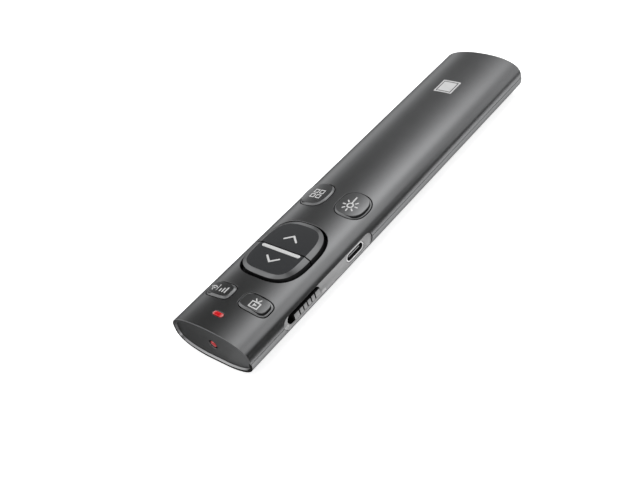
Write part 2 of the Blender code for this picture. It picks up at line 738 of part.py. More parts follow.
def page_keys(looks):
    middle = (0, from_nose(PAGE_FROM_NOSE))
    top_outline = superellipse(PAGE_TOP_ACROSS, PAGE_TOP_ALONG, PAGE_TOP_POWER, middle)
    rings = [
        [Vector((x, y, PAGE_FLANGE_BOTTOM)) for x, y in page_key_outline(0)],
        [Vector((x, y, crown_z(x) + PAGE_SIDE_RISE)) for x, y in page_key_outline(0)],
        [Vector((x, y, PAGE_TOP)) for x, y in top_outline],
    ]
    flange = upright(page_outline(KEY_FLANGE - KEY_GAP), PAGE_FLANGE_BOTTOM, PAGE_FLANGE_TOP)
    roof = MIDDLE_Z + CROWN_RISE - WALL - KEY_POCKET_DEPTH
    split = from_nose(PAGE_SPLIT_FROM_NOSE)
    for name, side in (("page_down", -1), ("page_up", 1)):
        key = solid(name + "_key", [rings], looks["dark"])
        join(key, helper(name + "_flange", [flange]))
        hollow_and_stem(key, name, page_key_outline(-KEY_WALL), roof, (0, page_switch_y(side)))
        edge = split + side * PAGE_SPLIT_GAP / 2
        ys = sorted((edge, edge - side * BODY_LENGTH))
        other_half = box((-BODY_WIDTH, ys[0], 0), (BODY_WIDTH, ys[1], BODY_WIDTH))
        cut(key, helper(name + "_other_half", [other_half]))
        half = (PAGE_KEY_ACROSS - KEY_WALL) / 2
        ys = sorted((edge, edge + side * KEY_WALL))
        web = box((-half, ys[0], PAGE_FLANGE_TOP), (half, ys[1], roof + KEY_WALL / 2))
        join(key, helper(name + "_web", [web]))
        if name == "page_down":
            groove = upright(bar_outline(BAR_FIT), PAGE_TOP - BAR_DEPTH, PAGE_TOP + OVERRUN)
            cut(key, helper("bar_groove", [groove]))
    bar = upright(bar_outline(0), PAGE_TOP - BAR_DEPTH + BAR_FIT, PAGE_TOP + BAR_PROUD)
    solid("divider_bar", [bar], looks["silver"])


def bar_outline(grow):
    rear = from_nose(PAGE_SPLIT_FROM_NOSE) - PAGE_SPLIT_GAP / 2
    width = BAR_WIDTH + 2 * grow
    return rounded_rectangle(BAR_LENGTH + 2 * grow, width, width / 2, (0, rear - BAR_WIDTH / 2))


# Side strip, thumb slide and charging port

def slot_outline(grow):
    middle = (from_nose(SLOT_FRONT + SLOT_LENGTH / 2), PORT_Z)
    height = SLOT_HEIGHT + 2 * grow
    return rounded_rectangle(SLOT_LENGTH + 2 * grow, height, height / 2, middle)


def port_outline(grow):
    height = PORT_HEIGHT + 2 * grow
    return rounded_rectangle(PORT_WIDTH + 2 * grow, height, height / 2, (from_nose(PORT_FROM_NOSE), PORT_Z))


def side_strip(looks):
    plate = along_x(strip_outline(0), STRIP_BACK - STRIP_FLANGE_THICKNESS / 2, STRIP_FACE)
    strip = solid("side_strip", [plate], looks["strip"])
    flange = along_x(strip_outline(STRIP_FLANGE), STRIP_INNER, STRIP_BACK - FIT_GAP)
    join(strip, helper("strip_flange", [flange]))
    holes = [along_x(slot_outline(0), STRIP_INNER - OVERRUN, STRIP_FACE + OVERRUN),
             along_x(port_outline(FIT_GAP), STRIP_INNER - OVERRUN, STRIP_FACE + OVERRUN)]
    cut(strip, helper("strip_holes", holes))


def power_slider(looks):
    middle = (from_nose(SLIDER_MIDDLE), PORT_Z)
    height = SLOT_HEIGHT - 2 * FIT_GAP
    thumb = rounded_rectangle(SLIDER_LENGTH, height, height / 2, middle)
    root = PLATE_OUTER - SLIDER_THUMB_ROOT
    slider = solid("power_slider", [along_x(thumb, root, STRIP_FACE + SLIDER_PROUD)], looks["strip"])
    # The plate behind the strip laps below the slot, and stays under the screen key's flange.
    top, bottom = PORT_Z + SLIDER_PLATE_RISE, PORT_Z - height / 2 - SLIDER_PLATE_LAP
    plate = rounded_rectangle(
        SLIDER_LENGTH + 2 * SLIDER_PLATE_LAP, top - bottom, SLIDER_PLATE_LAP,
        (middle[0], (top + bottom) / 2),
    )
    join(slider, helper("slider_plate", [along_x(plate, PLATE_INNER, PLATE_OUTER)]))
    grooves = []
    for number in range(GROOVE_COUNT):
        y = middle[0] + (number - (GROOVE_COUNT - 1) / 2) * GROOVE_PITCH
        low = (STRIP_FACE + SLIDER_PROUD - GROOVE_DEPTH, y - GROOVE_WIDTH / 2, PORT_Z - SLOT_HEIGHT)
        high = (STRIP_FACE + OVERRUN, y + GROOVE_WIDTH / 2, PORT_Z + SLOT_HEIGHT)
        grooves.append(box(low, high))
    cut(slider, helper("slider_grooves", grooves))
    half_notch = LEVER_ALONG / 2 + FIT_GAP
    half_height = LEVER_HEIGHT / 2 + FIT_GAP
    notch_low = (PLATE_INNER - OVERRUN, middle[0] - half_notch, PORT_Z - half_height)
    notch_high = (PLATE_INNER + LEVER_REACH + FIT_GAP, middle[0] + half_notch, PORT_Z + half_height)
    cut(slider, helper("lever_notch", [box(notch_low, notch_high)]))


def slide_switch(looks):
    outer = PLATE_INNER - REST_GAP
    inner = outer - SWITCH_BODY_ACROSS
    y = from_nose(SLIDER_MIDDLE) - SLIDER_TRAVEL / 2
    low = (inner, y - SWITCH_BODY_ALONG / 2, BOARD_TOP + FIT_GAP)
    high = (outer, y + SWITCH_BODY_ALONG / 2, BOARD_TOP + FIT_GAP + SWITCH_BODY_HEIGHT)
    body = solid("slide_switch", [box(low, high)], looks["steel"])
    reach = (SLIDER_TRAVEL + LEVER_ALONG) / 2 + FIT_GAP
    half_height = LEVER_HEIGHT / 2 + FIT_GAP
    slot_low = (outer - LEVER_ROOT - FIT_GAP, y - reach, PORT_Z - half_height)
    slot_high = (outer + OVERRUN, y + reach, PORT_Z + half_height)
    cut(body, helper("lever_slot", [box(slot_low, slot_high)]))
    lever_y = from_nose(SLIDER_MIDDLE)
    lever_low = (outer - LEVER_ROOT, lever_y - LEVER_ALONG / 2, PORT_Z - LEVER_HEIGHT / 2)
    lever_high = (PLATE_INNER + LEVER_REACH, lever_y + LEVER_ALONG / 2, PORT_Z + LEVER_HEIGHT / 2)
    solid("switch_lever", [box(lever_low, lever_high)], looks["black"])


def charging_port(looks):
    port = solid("usb_shell", [along_x(port_outline(0), PORT_BACK, PORT_MOUTH)], looks["steel"])
    hollow = along_x(port_outline(-PORT_WALL), PORT_BACK + PORT_WALL, PORT_MOUTH + OVERRUN)
    cut(port, helper("port_hollow", [hollow]))
    start = PORT_BACK + PORT_WALL + FIT_GAP
    block = along_x(port_outline(-PORT_WALL - FIT_GAP), start, start + TONGUE_BLOCK)
    tongue = solid("usb_tongue", [block], looks["black"])
    y = from_nose(PORT_FROM_NOSE)
    low = (start + TONGUE_BLOCK / 2, y - TONGUE_WIDTH / 2, PORT_Z - TONGUE_THICKNESS / 2)
    high = (PORT_MOUTH - TONGUE_SET_BACK, y + TONGUE_WIDTH / 2, PORT_Z + TONGUE_THICKNESS / 2)
    join(tongue, helper("tongue_blade", [box(low, high)]))


# Circuit board

def circuit_board(looks):
    notch = BARREL_RADIUS + BOARD_SLOT_GAP
    front, rear = from_nose(BOARD_FRONT), from_nose(BOARD_REAR)
    notch_end = from_nose(BARREL_REAR + DIODE_BACK_LENGTH) + BOARD_SLOT_GAP
    outline = [
        (-BOARD_EDGE, front), (-notch, front), (-notch, notch_end), (notch, notch_end),
        (notch, front), (BOARD_EDGE, front), (BOARD_EDGE, rear), (-BOARD_EDGE, rear),
    ]
    board = solid("circuit_board", [upright(outline, BOARD_BOTTOM, BOARD_TOP)], looks["board"])
    holes = []
    for place in screw_places():
        if place[1] < rear:
            hole = circle(SCREW_RADIUS_IN_CASE, place, 16)
            holes.append(upright(hole, BOARD_BOTTOM - OVERRUN, BOARD_TOP + OVERRUN))
    cut(board, helper("board_holes", holes))


def switch_middles():
    places = {name: key_middle(*kind) for name, kind in SMALL_AND_ROUND_KEYS.items()}
    places["page_down"] = (0, page_switch_y(-1))
    places["page_up"] = (0, page_switch_y(1))
    return places


def push_switches(looks):
    bottom = BOARD_TOP + FIT_GAP
    for name, (x, y) in switch_middles().items():
        half = SWITCH_SIDE / 2
        low = (x - half, y - half, bottom)
        high = (x + half, y + half, bottom + SWITCH_HEIGHT)
        body = solid(name + "_switch", [box(low, high)], looks["black"])
        top = bottom + SWITCH_HEIGHT
        plunger = upright(circle(PLUNGER_RADIUS, (x, y), 12), top - SWITCH_HEIGHT / 2, top + PLUNGER_HEIGHT)
        join(body, helper(name + "_plunger", [plunger]))


def skirt_radius():
    return math.hypot(SWITCH_SIDE, SWITCH_SIDE) / 2 + SKIRT_ROOM


def key_mat(looks):
    # One sheet round all six switches. Its side lobes carry the small and the round keys' skirts.
    bottom = BOARD_TOP + FIT_GAP
    top = bottom + MAT_THICKNESS
    outer = skirt_radius() + SKIRT_WALL
    reach = outer + MAT_EDGE
    small_x, small_y = key_middle("small", 1)
    round_y = key_middle("round", 1)[1]
    small_half = min(reach, small_y - from_nose(BARREL_REAR + DIODE_BACK_LENGTH) - FIT_GAP)
    narrow = PORT_BACK - MAT_PORT_GAP
    wide = small_x + outer + SKIRT_ROOM
    outline = [
        (-wide, small_y - small_half), (wide, small_y - small_half), (wide, small_y + reach),
        (narrow, small_y + reach), (narrow, round_y - reach), (wide, round_y - reach),
        (wide, round_y + reach), (-wide, round_y + reach), (-wide, round_y - reach),
        (-narrow, round_y - reach), (-narrow, small_y + reach), (-wide, small_y + reach),
    ]
    mat = solid("key_mat", [upright(outline, bottom, top)], looks["silicone"])
    skirts = []
    holes = []
    for x, y in switch_middles().values():
        skirts.append(upright(circle(outer, (x, y), 24), bottom + MAT_THICKNESS / 2, STEM_BOTTOM))
        holes.append(upright(circle(skirt_radius(), (x, y), 24), bottom - OVERRUN, STEM_BOTTOM + OVERRUN))
    join(mat, helper("mat_skirts", skirts))
    cut(mat, helper("mat_holes", holes))


def chips(looks):
    sizes = {
        "controller_chip": (CHIP_SIDE, CHIP_SIDE, CHIP_HEIGHT, looks["black"]),
        "radio_can": (CAN_ACROSS, CAN_ALONG, CAN_HEIGHT, looks["steel"]),
        "charger_chip": (CHARGER_SIDE, CHARGER_SIDE, CHIP_HEIGHT, looks["black"]),
    }
    for name, (across, along, height, finish) in sizes.items():
        y = from_nose(BOARD_FRONT + CHIP_SHARES[name] * (BOARD_REAR - BOARD_FRONT))
        top = BOARD_BOTTOM - FIT_GAP
        low = (-across / 2, y - along / 2, top - height)
        solid(name, [box(low, (across / 2, y + along / 2, top))], finish)


# Battery

def battery_parts(looks):
    front = from_nose(BATTERY_FROM_NOSE)
    rear = front + BATTERY_LENGTH
    middle = (0, BATTERY_BOTTOM + BATTERY_THICKNESS / 2)
    pouch = rounded_rectangle(BATTERY_WIDTH, BATTERY_THICKNESS, BATTERY_ROUND, middle, 3)
    solid("battery", [along_y(pouch, front, rear)], looks["foil"])
    half = BATTERY_WIDTH / 2 - FOAM_EDGE
    low = (-half, front + FOAM_EDGE, FOAM_BOTTOM)
    high = (half, rear - FOAM_EDGE, FOAM_BOTTOM + FOAM_THICKNESS)
    solid("battery_foam", [box(low, high)], looks["foam"])
    socket_rear = from_nose(BOARD_REAR) - FIT_GAP
    socket_front = socket_rear - SOCKET_ALONG
    socket_low = (-SOCKET_ACROSS / 2, socket_front, BOARD_TOP + FIT_GAP)
    socket_high = (SOCKET_ACROSS / 2, socket_rear, BOARD_TOP + FIT_GAP + SOCKET_HEIGHT)
    solid("battery_socket", [box(socket_low, socket_high)], looks["white"])
    start_y = socket_rear + LEAD_SOCKET_LAP
    end_y = front - LEAD_SOCKET_LAP
    start_z = BOARD_TOP + FIT_GAP + SOCKET_HEIGHT / 2
    for name, side, finish in (("red", 1, looks["red wire"]), ("black", -1, looks["black"])):
        x = side * LEAD_SPACING / 2
        start, end = Vector((x, start_y, start_z)), Vector((x, end_y, middle[1]))
        battery_lead("battery_lead_" + name, start, end, finish)


def battery_lead(name, start, end, finish):
    # A short wire that leaves the socket and meets the battery level, with an easy bend between.
    curve = bpy.data.curves.new(name, "CURVE")
    curve.dimensions = "3D"
    curve.bevel_depth = LEAD_RADIUS
    curve.bevel_resolution = 1
    curve.use_fill_caps = True
    line = curve.splines.new("POLY")
    steps = 8
    line.points.add(steps)
    for step in range(steps + 1):
        along = step / steps
        ease = along * along * (3 - 2 * along)
        y = start.y + (end.y - start.y) * along
        z = start.z + (end.z - start.z) * ease
        line.points[step].co = (start.x, y, z, 1)
    curve.materials.append(finish)
    made = bpy.data.objects.new(name, curve)
    bpy.context.scene.collection.objects.link(made)


# Screws

def case_screws(looks):
    head_top = seat_z() - FIT_GAP
    head_bottom = head_top - SCREW_HEAD_THICKNESS
    for number, place in enumerate(screw_places(), 1):
        wide = circle(SCREW_HEAD_RADIUS, place, 16)
        thin = circle(SCREW_SHANK_RADIUS, place, 16)
        rings = [
            [Vector((x, y, head_bottom)) for x, y in wide], [Vector((x, y, head_top)) for x, y in wide],
            [Vector((x, y, head_top)) for x, y in thin], [Vector((x, y, screw_tip())) for x, y in thin],
        ]
        screw = solid("case_screw_%d" % number, [rings], looks["steel"])
        reach = SCREW_HEAD_RADIUS / 2
        half = SCREW_DRIVE_WIDTH / 2
        for arm, (across, along) in (("a", (reach, half)), ("b", (half, reach))):
            low = (place[0] - across, place[1] - along, head_bottom - OVERRUN)
            high = (place[0] + across, place[1] + along, head_bottom + SCREW_DRIVE_DEPTH)
            cut(screw, helper("drive_%d_%s" % (number, arm), [box(low, high)]))


def build():
    for thing in list(bpy.data.objects):
        bpy.data.objects.remove(thing)
    looks = finishes()
    case_halves(looks)
    nose_cap(looks)
    laser_module(looks)
    status_light(looks)
    small_and_round_keys(looks)
    page_keys(looks)
    side_strip(looks)
    power_slider(looks)
    slide_switch(looks)
    charging_port(looks)
    circuit_board(looks)
    push_switches(looks)
    key_mat(looks)
    chips(looks)
    battery_parts(looks)
    case_screws(looks)


build()
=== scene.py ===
import json
import math

import bmesh
import bpy
from mathutils import Matrix, Vector

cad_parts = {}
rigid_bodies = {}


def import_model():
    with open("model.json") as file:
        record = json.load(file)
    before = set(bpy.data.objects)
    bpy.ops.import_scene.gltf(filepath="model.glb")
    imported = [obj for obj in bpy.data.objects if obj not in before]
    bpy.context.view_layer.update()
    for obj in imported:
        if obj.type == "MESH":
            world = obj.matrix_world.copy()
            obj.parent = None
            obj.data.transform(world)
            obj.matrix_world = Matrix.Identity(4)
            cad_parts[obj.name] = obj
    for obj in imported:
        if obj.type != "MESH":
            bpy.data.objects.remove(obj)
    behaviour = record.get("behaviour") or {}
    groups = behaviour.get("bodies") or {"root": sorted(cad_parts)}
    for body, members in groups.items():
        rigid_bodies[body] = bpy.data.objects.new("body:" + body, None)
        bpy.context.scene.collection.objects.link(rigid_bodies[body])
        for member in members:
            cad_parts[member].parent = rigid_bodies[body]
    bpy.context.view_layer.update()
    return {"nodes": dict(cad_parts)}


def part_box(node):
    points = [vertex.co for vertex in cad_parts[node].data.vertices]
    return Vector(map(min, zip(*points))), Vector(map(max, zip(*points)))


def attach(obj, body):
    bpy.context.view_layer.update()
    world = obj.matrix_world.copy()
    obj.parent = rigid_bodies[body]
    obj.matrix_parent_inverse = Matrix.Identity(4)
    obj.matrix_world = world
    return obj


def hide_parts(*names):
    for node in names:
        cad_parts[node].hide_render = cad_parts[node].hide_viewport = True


for thing in list(bpy.data.objects):
    bpy.data.objects.remove(thing)
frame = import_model()
mm = 0.001
print("frame loaded")

# the case: two curves that meet at the widest level, and run the whole length
case = {
    "crownAcross": 2.198, "crownUp": 2.692,  # powers of the upper curve
    "bellyAcross": 2.314, "bellyUp": 2.780,  # and of the lower one
    "bellyDrop": 7.61 * mm, "flatTrim": 0.16 * mm, "wall": 1.5 * mm,
    "rimWall": 1.22 * mm, "rimDepth": 2.15 * mm, "rimBevel": 0.26 * mm, "rimBevelDepth": 0.6 * mm,
    "noseRound": 0.16 * mm, "tailRound": 0.6 * mm, "lipRound": 0.14 * mm,
    "seamDrop": 0.4 * mm, "seamGap": 0.1 * mm, "seamBevel": 0.14 * mm,
    "paintDepth": 0.35 * mm, "rimPaint": 1.4 * mm,  # paint ends below this depth, and past this from the nose; deeper faces are black, bare plastic and painted shade
    "sectionSteps": 112, "hollowSteps": 60, "roundSteps": 6,
}
# how far the cutters run past what they cut
cutReach = {"above": 2 * mm, "side": 2 * mm, "slot": 4 * mm, "seam": 3 * mm, "far": 30 * mm, "floor": 1 * mm,
            "rimFront": 0.5 * mm, "rimFlare": 0.3 * mm, "hollowOverlap": 0.15 * mm}
shellLow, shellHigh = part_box("top_shell")
noseY, tailY = shellLow.y, shellHigh.y
halfWidth = shellHigh.x
midZ = case["bellyDrop"] - case["flatTrim"]
crownRise = shellHigh.z - midZ
seamZ = midZ - case["seamDrop"]


def fromNose(distance):
    return noseY + distance


def crownZ(x, grow=0.0):
    share = min(1, abs(x) / (halfWidth + grow))
    return midZ + (crownRise + grow) * (1 - share ** case["crownAcross"]) ** (1 / case["crownUp"])


def curveOf(upper):
    # the powers across and up, and the reach from the widest level
    if upper:
        return case["crownAcross"], case["crownUp"], crownRise
    return case["bellyAcross"], case["bellyUp"], case["bellyDrop"]


def sectionPoint(turn, inset):
    # turn goes from 0 at +X over the top to 1 at -X, and on to 2 under the belly
    angle = math.pi if turn == 1 else math.pi / 2 * (1 - math.cos(math.pi * (turn % 1)))
    across, up = math.cos(angle), math.sin(angle)
    acrossPower, upPower, reach = curveOf(turn <= 1)
    side = 1 if turn <= 1 else -1
    x = side * math.copysign((halfWidth - inset) * abs(across) ** (2 / acrossPower), across)
    z = midZ + side * (reach - inset) * max(up, 0) ** (2 / upPower)
    return x, max(z, inset)


def sectionRing(y, inset=0.0, steps=None):
    steps = steps or case["sectionSteps"]
    ring = []
    for step in range(2 * steps):
        x, z = sectionPoint(step / steps, inset)
        ring.append(Vector((x, y, z)))
    return ring


# outlines are lists of pairs, anticlockwise

def superOutline(width, height, power, center, steps=96, grow=0.0):
    points = []
    for step in range(steps):
        angle = 2 * math.pi * step / steps
        across, up = math.cos(angle), math.sin(angle)
        points.append((
            center[0] + math.copysign((width / 2 + grow) * abs(across) ** (2 / power), across),
            center[1] + math.copysign((height / 2 + grow) * abs(up) ** (2 / power), up),
        ))
    return points


def pillOutline(length, width, center, steps=14, grow=0.0):
    straight, radius = (length - width) / 2, width / 2 + grow
    points = []
    for side in (1, -1):
        for step in range(steps + 1):
            angle = math.pi * (step / steps - 0.5)
            points.append((
                center[0] + side * (straight + radius * math.cos(angle)),
                center[1] + side * radius * math.sin(angle),
            ))
    return points


def circleOutline(radius, center, steps=48):
    return [
        (center[0] + radius * math.cos(2 * math.pi * step / steps),
         center[1] + radius * math.sin(2 * math.pi * step / steps))
        for step in range(steps)
    ]


def boxOutline(low, high):
    return [low, (high[0], low[1]), high, (low[0], high[1])]


def squareOutline(center, half):
    return boxOutline((center[0] - half, center[1] - half), (center[0] + half, center[1] + half))


def arc(center, radius, start, end, steps=16):
    points = []
    for step in range(steps + 1):
        angle = math.radians(start + (end - start) * step / steps)
        points.append((center[0] + radius * math.cos(angle), center[1] + radius * math.sin(angle)))
    return points


def quarterRound(steps):
    # shares of a rounding's radius: back from the face, and in from the side
    for step in range(steps + 1):
        angle = math.pi / 2 * step / steps
        yield 1 - math.sin(angle), 1 - math.cos(angle)


# meshes

def makePiece(name, points, faces, materials=(), faceFinish=None):
    mesh = bpy.data.meshes.new(name)
    mesh.from_pydata(points, [], faces)
    mesh.update()
    piece = bpy.data.objects.new(name, mesh)
    bpy.context.scene.collection.objects.link(piece)
    for material in materials:
        mesh.materials.append(material)
    if faceFinish:
        for face, index in zip(mesh.polygons, faceFinish):
            face.material_index = index
    return piece


def faceOut(piece):
    work = bmesh.new()
    work.from_mesh(piece.data)
    bmesh.ops.recalc_face_normals(work, faces=work.faces)
    work.to_mesh(piece.data)
    work.free()


def smoothShade(piece, sharpAngle=30):
    piece.data.shade_smooth()
    piece.data.set_sharp_from_angle(angle=math.radians(sharpAngle))


def bandFaces(rows, count, base=0, closed=False):
    # quads between rows of points; a closed band joins its last row to the first
    faces = []
    for row in range(rows if closed else rows - 1):
        here, there = base + row * count, base + (row + 1) % rows * count
        for step in range(count):
            after = (step + 1) % count
            faces.append((here + step, here + after, there + after, there + step))
    return faces


def loftPiece(name, rings, wears=(), ringFinish=None, sharpAngle=30):
    # rings of equal length, joined in order and closed at both ends; ringFinish counts in wears
    points = [tuple(point) for ring in rings for point in ring]
    rows, count = len(rings), len(rings[0])
    ringFinish = ringFinish or [0] * (rows - 1)
    faces = bandFaces(rows, count)
    faces += [tuple(reversed(range(count))), tuple(range((rows - 1) * count, rows * count))]
    faceFinish = [index for index in ringFinish for step in range(count)]
    faceFinish += [ringFinish[0], ringFinish[-1]]
    piece = makePiece(name, points, faces, [finishes[finish] for finish in wears], faceFinish)
    faceOut(piece)
    smoothShade(piece, sharpAngle)
    return piece


def cutAway(piece, tools, operation="DIFFERENCE"):
    for tool in tools:
        step = piece.modifiers.new(tool.name, "BOOLEAN")
        step.operation = operation
        step.object = tool
        step.solver = "EXACT"
    bpy.context.view_layer.update()
    view = bpy.context.evaluated_depsgraph_get()
    mesh = bpy.data.meshes.new_from_object(piece.evaluated_get(view))
    piece.modifiers.clear()
    piece.data = mesh
    for tool in tools:
        bpy.data.objects.remove(tool)


def flatRing(outline, z):
    return [Vector((x, y, z)) for x, y in outline]


def crownRing(outline, rise):
    return [Vector((x, y, crownZ(x) + rise)) for x, y in outline]


def sideRing(outline, x):
    # the outline's pairs are y and z
    return [Vector((x, y, z)) for y, z in outline]


def scaleOutline(outline, center, scale):
    return [
        (center[0] + (x - center[0]) * scale, center[1] + (y - center[1]) * scale)
        for x, y in outline
    ]


# finishes

def feed(node, values):
    # inputs by name or number; another node's output is linked to them
    for key, value in values.items():
        if isinstance(value, bpy.types.NodeSocket):
            node.id_data.links.new(value, node.inputs[key])
        else:
            node.inputs[key].default_value = value


def addNode(tree, kind, values=None, **settings):
    node = tree.nodes.new("ShaderNode" + kind)
    for key, value in settings.items():
        setattr(node, key, value)
    feed(node, values or {})
    return node


def makeFinish(name, colour, roughness, metallic=0.0, grain=0.02 * mm, shift=0.04, roughShift=0.05,
               bump=0.0, bumpGrain=0.08 * mm, coat=0.0, coatRoughness=0.1, glow=None, stretch=None,
               edgeTint=None):
    # colour and roughness wander a little at the grain's size, and a fine bump takes the light
    finish = bpy.data.materials.new(name)
    finish.use_nodes = True
    tree = finish.node_tree
    shader = tree.nodes["Principled BSDF"]
    source = addNode(tree, "TexCoord").outputs["Object"]
    if stretch:
        source = addNode(tree, "Mapping", {"Vector": source, "Scale": stretch}).outputs["Vector"]
    fleck = addNode(tree, "TexNoise", {"Vector": source, "Scale": 1 / grain, "Detail": 3.0, "Roughness": 0.6})
    cloud = addNode(tree, "TexNoise", {"Vector": source, "Scale": 0.12 / mm, "Detail": 2.0})
    # fine flecks, with a share of large clouds
    blend = addNode(tree, "Mix", {
        0: 0.3, 2: fleck.outputs["Fac"], 3: cloud.outputs["Fac"],
    }, data_type="FLOAT")
    ramp = addNode(tree, "ValToRGB", {"Fac": blend.outputs[0]})
    dark = [channel * (1 - shift) for channel in colour]
    light = [min(1, channel * (1 + shift)) for channel in colour]
    for stop, position, shade in zip(ramp.color_ramp.elements, (0.3, 0.7), (dark, light)):
        stop.position = position
        stop.color = (*shade, 1)
    low, high = max(0.02, roughness - roughShift), min(1, roughness + roughShift)
    rough = addNode(tree, "MapRange", {"Value": blend.outputs[0], "To Min": low, "To Max": high})
    feed(shader, {"Base Color": ramp.outputs["Color"], "Roughness": rough.outputs["Result"],
                  "Metallic": metallic})
    if edgeTint:
        feed(shader, {"Specular Tint": (edgeTint, edgeTint, edgeTint, 1)})
    if coat:
        feed(shader, {"Coat Weight": coat, "Coat Roughness": coatRoughness})
    if bump:
        pits = addNode(tree, "TexNoise", {"Vector": source, "Scale": 1 / bumpGrain, "Detail": 2.0})
        relief = addNode(tree, "Bump", {
            "Strength": bump, "Distance": 0.02 * mm, "Height": pits.outputs["Fac"],
        })
        feed(shader, {"Normal": relief.outputs["Normal"]})
    if glow:
        feed(shader, {"Emission Color": (*glow[0], 1), "Emission Strength": glow[1]})
    return finish


def paintedHighlightEnds(finish, colour, start, end):
    # painted highlight: the colour turns to another one away from the middle, along X
    tree = finish.node_tree
    shader = tree.nodes["Principled BSDF"]
    place = addNode(tree, "TexCoord")
    parts = addNode(tree, "SeparateXYZ", {0: place.outputs["Object"]})
    away = addNode(tree, "Math", {0: parts.outputs["X"]}, operation="ABSOLUTE")
    share = addNode(tree, "MapRange", {"Value": away.outputs[0], "From Min": start, "From Max": end})
    before = shader.inputs["Base Color"].links[0].from_socket
    blend = addNode(tree, "Mix", {0: share.outputs["Result"], 6: before, 7: (*colour, 1)}, data_type="RGBA")
    feed(shader, {"Base Color": blend.outputs[2]})


finishes = {
    "paint": makeFinish("satinGraphite", (0.208, 0.210, 0.213), 0.30, 0.95, grain=0.10 * mm, shift=0.08,
                        roughShift=0.03, bump=0.08, edgeTint=0.38),
    # a lighter copy of the paint: painted highlight on the rim's inner bevel
    "bevelHighlight": makeFinish("paintedHighlightBevel", (0.42, 0.42, 0.425), 0.34, 0.95, grain=0.10 * mm, shift=0.06,
                          bump=0.08),
    # bare black plastic, which also stands as painted shade inside holes, gaps and bores
    "bareWallAndShade": makeFinish("bareBlackAndPaintedShade", (0.012, 0.012, 0.013), 0.55, grain=0.3 * mm, bump=0.2),
    "keyTop": makeFinish("charcoalKeyTop", (0.022, 0.023, 0.025), 0.47, grain=0.2 * mm, bump=0.15,
                         edgeTint=0.6),
    "print": makeFinish("silverPrint", (0.62, 0.62, 0.62), 0.45, 0.2, grain=0.15 * mm, shift=0.06),
    "bar": makeFinish("brightSilver", (0.72, 0.72, 0.72), 0.35, 0.3, grain=0.1 * mm, shift=0.05,
                      stretch=(0.05, 1, 1)),
    "strip": makeFinish("sideStripGrey", (0.32, 0.32, 0.323), 0.45, 0.30, grain=0.12 * mm, bump=0.2),
    "steel": makeFinish("platedSteel", (0.72, 0.72, 0.73), 0.22, 1.0, grain=0.3 * mm, shift=0.05),
    "nickel": makeFinish("brightNickel", (0.97, 0.97, 0.98), 0.30, 0.15, grain=0.3 * mm, shift=0.04),
    "tongueGrey": makeFinish("portTongueGrey", (0.34, 0.34, 0.35), 0.50, grain=0.3 * mm, bump=0.2),
    "red": makeFinish("redLens", (0.45, 0.005, 0.009), 0.22, grain=0.6 * mm, coat=0.1,
                      glow=((1, 0.005, 0.01), 0.12)),
    # the window glows a little: painted light, the laser being off
    "laserRedGlow": makeFinish("redWindowPaintedGlow", (0.40, 0.008, 0.014), 0.10, grain=0.6 * mm, coat=0.6,
                           glow=((1, 0.02, 0.03), 0.12)),
    "brass": makeFinish("barrelBrass", (0.62, 0.45, 0.19), 0.28, 1.0, grain=0.4 * mm, stretch=(1, 0.1, 1)),
    "clear": makeFinish("clearLens", (0.86, 0.88, 0.90), 0.06, grain=0.8 * mm, shift=0.02),
    "board": makeFinish("boardGreen", (0.018, 0.095, 0.045), 0.45, grain=0.5 * mm, shift=0.3, bump=0.3),
    "black": makeFinish("blackMouldingAndShade", (0.014, 0.014, 0.015), 0.45, grain=0.3 * mm, bump=0.2),
    # near-black: painted shade deep in the slot, the port and the grooves, and along the lower nose edge
    "blackAndDeepShade": makeFinish("blackAndPaintedDeepShade", (0.004, 0.004, 0.004), 0.85, grain=0.3 * mm, bump=0.2, edgeTint=0.1),
    "silicone": makeFinish("greySilicone", (0.28, 0.28, 0.29), 0.65, grain=0.4 * mm, bump=0.3),
    "white": makeFinish("paleMoulding", (0.78, 0.78, 0.75), 0.40, grain=0.4 * mm, shift=0.03),
    "foil": makeFinish("batteryFoil", (0.66, 0.66, 0.68), 0.34, 0.9, grain=1.2 * mm, shift=0.06, bump=0.5,
                       bumpGrain=0.9 * mm),
    "foam": makeFinish("blackFoam", (0.018, 0.018, 0.018), 0.92, grain=0.5 * mm, shift=0.4, bump=1.0,
                       bumpGrain=0.4 * mm),
    "redLead": makeFinish("redLead", (0.50, 0.02, 0.02), 0.48, grain=0.4 * mm, bump=0.15),
    "gold": makeFinish("goldContact", (0.85, 0.62, 0.28), 0.25, 1.0, grain=0.2 * mm, shift=0.04),
}
print("finishes made")


# case halves

openings = {
    "small": {"fromNose": 15.09 * mm, "innerEdge": 1.95 * mm, "sideMargin": 3.3 * mm, "leftShift": 0.5 * mm,
              "along": 6.95 * mm, "power": 3.6},
    "round": {"fromNose": 64.40 * mm, "innerEdge": 1.90 * mm, "sideMargin": 3.20 * mm, "leftShift": 0.0,
              "along": 12.05 * mm, "power": 2.6},
    "page": {"fromNose": 37.3 * mm, "across": 24.3 * mm, "along": 27.1 * mm, "power": 3.0},
    "light": {"fromNose": 6.55 * mm, "across": 4.4 * mm, "along": 1.8 * mm},
}
# the key's opening, and -1 for the left side
smallAndRoundKeys = {
    "signal": ("small", -1), "screen": ("small", 1), "menu": ("round", -1), "laser": ("round", 1),
}


def openingMiddle(kind, side=1):
    hole = openings[kind]
    if "innerEdge" not in hole:
        return 0, fromNose(hole["fromNose"])
    x = (hole["innerEdge"] + halfWidth - hole["sideMargin"]) / 2
    return side * x + (hole["leftShift"] if side < 0 else 0), fromNose(hole["fromNose"])


def openingOutline(kind, side=1, grow=0.0):
    hole, middle = openings[kind], openingMiddle(kind, side)
    if kind == "light":
        return pillOutline(hole["across"], hole["along"], middle, grow=grow)
    across = hole["across"] if kind == "page" else halfWidth - hole["sideMargin"] - hole["innerEdge"]
    return superOutline(across, hole["along"], hole["power"], middle, grow=grow)


lipShape = {"steps": 4, "turn": 66, "flare": 2}  # the turn in degrees, the flare in radii


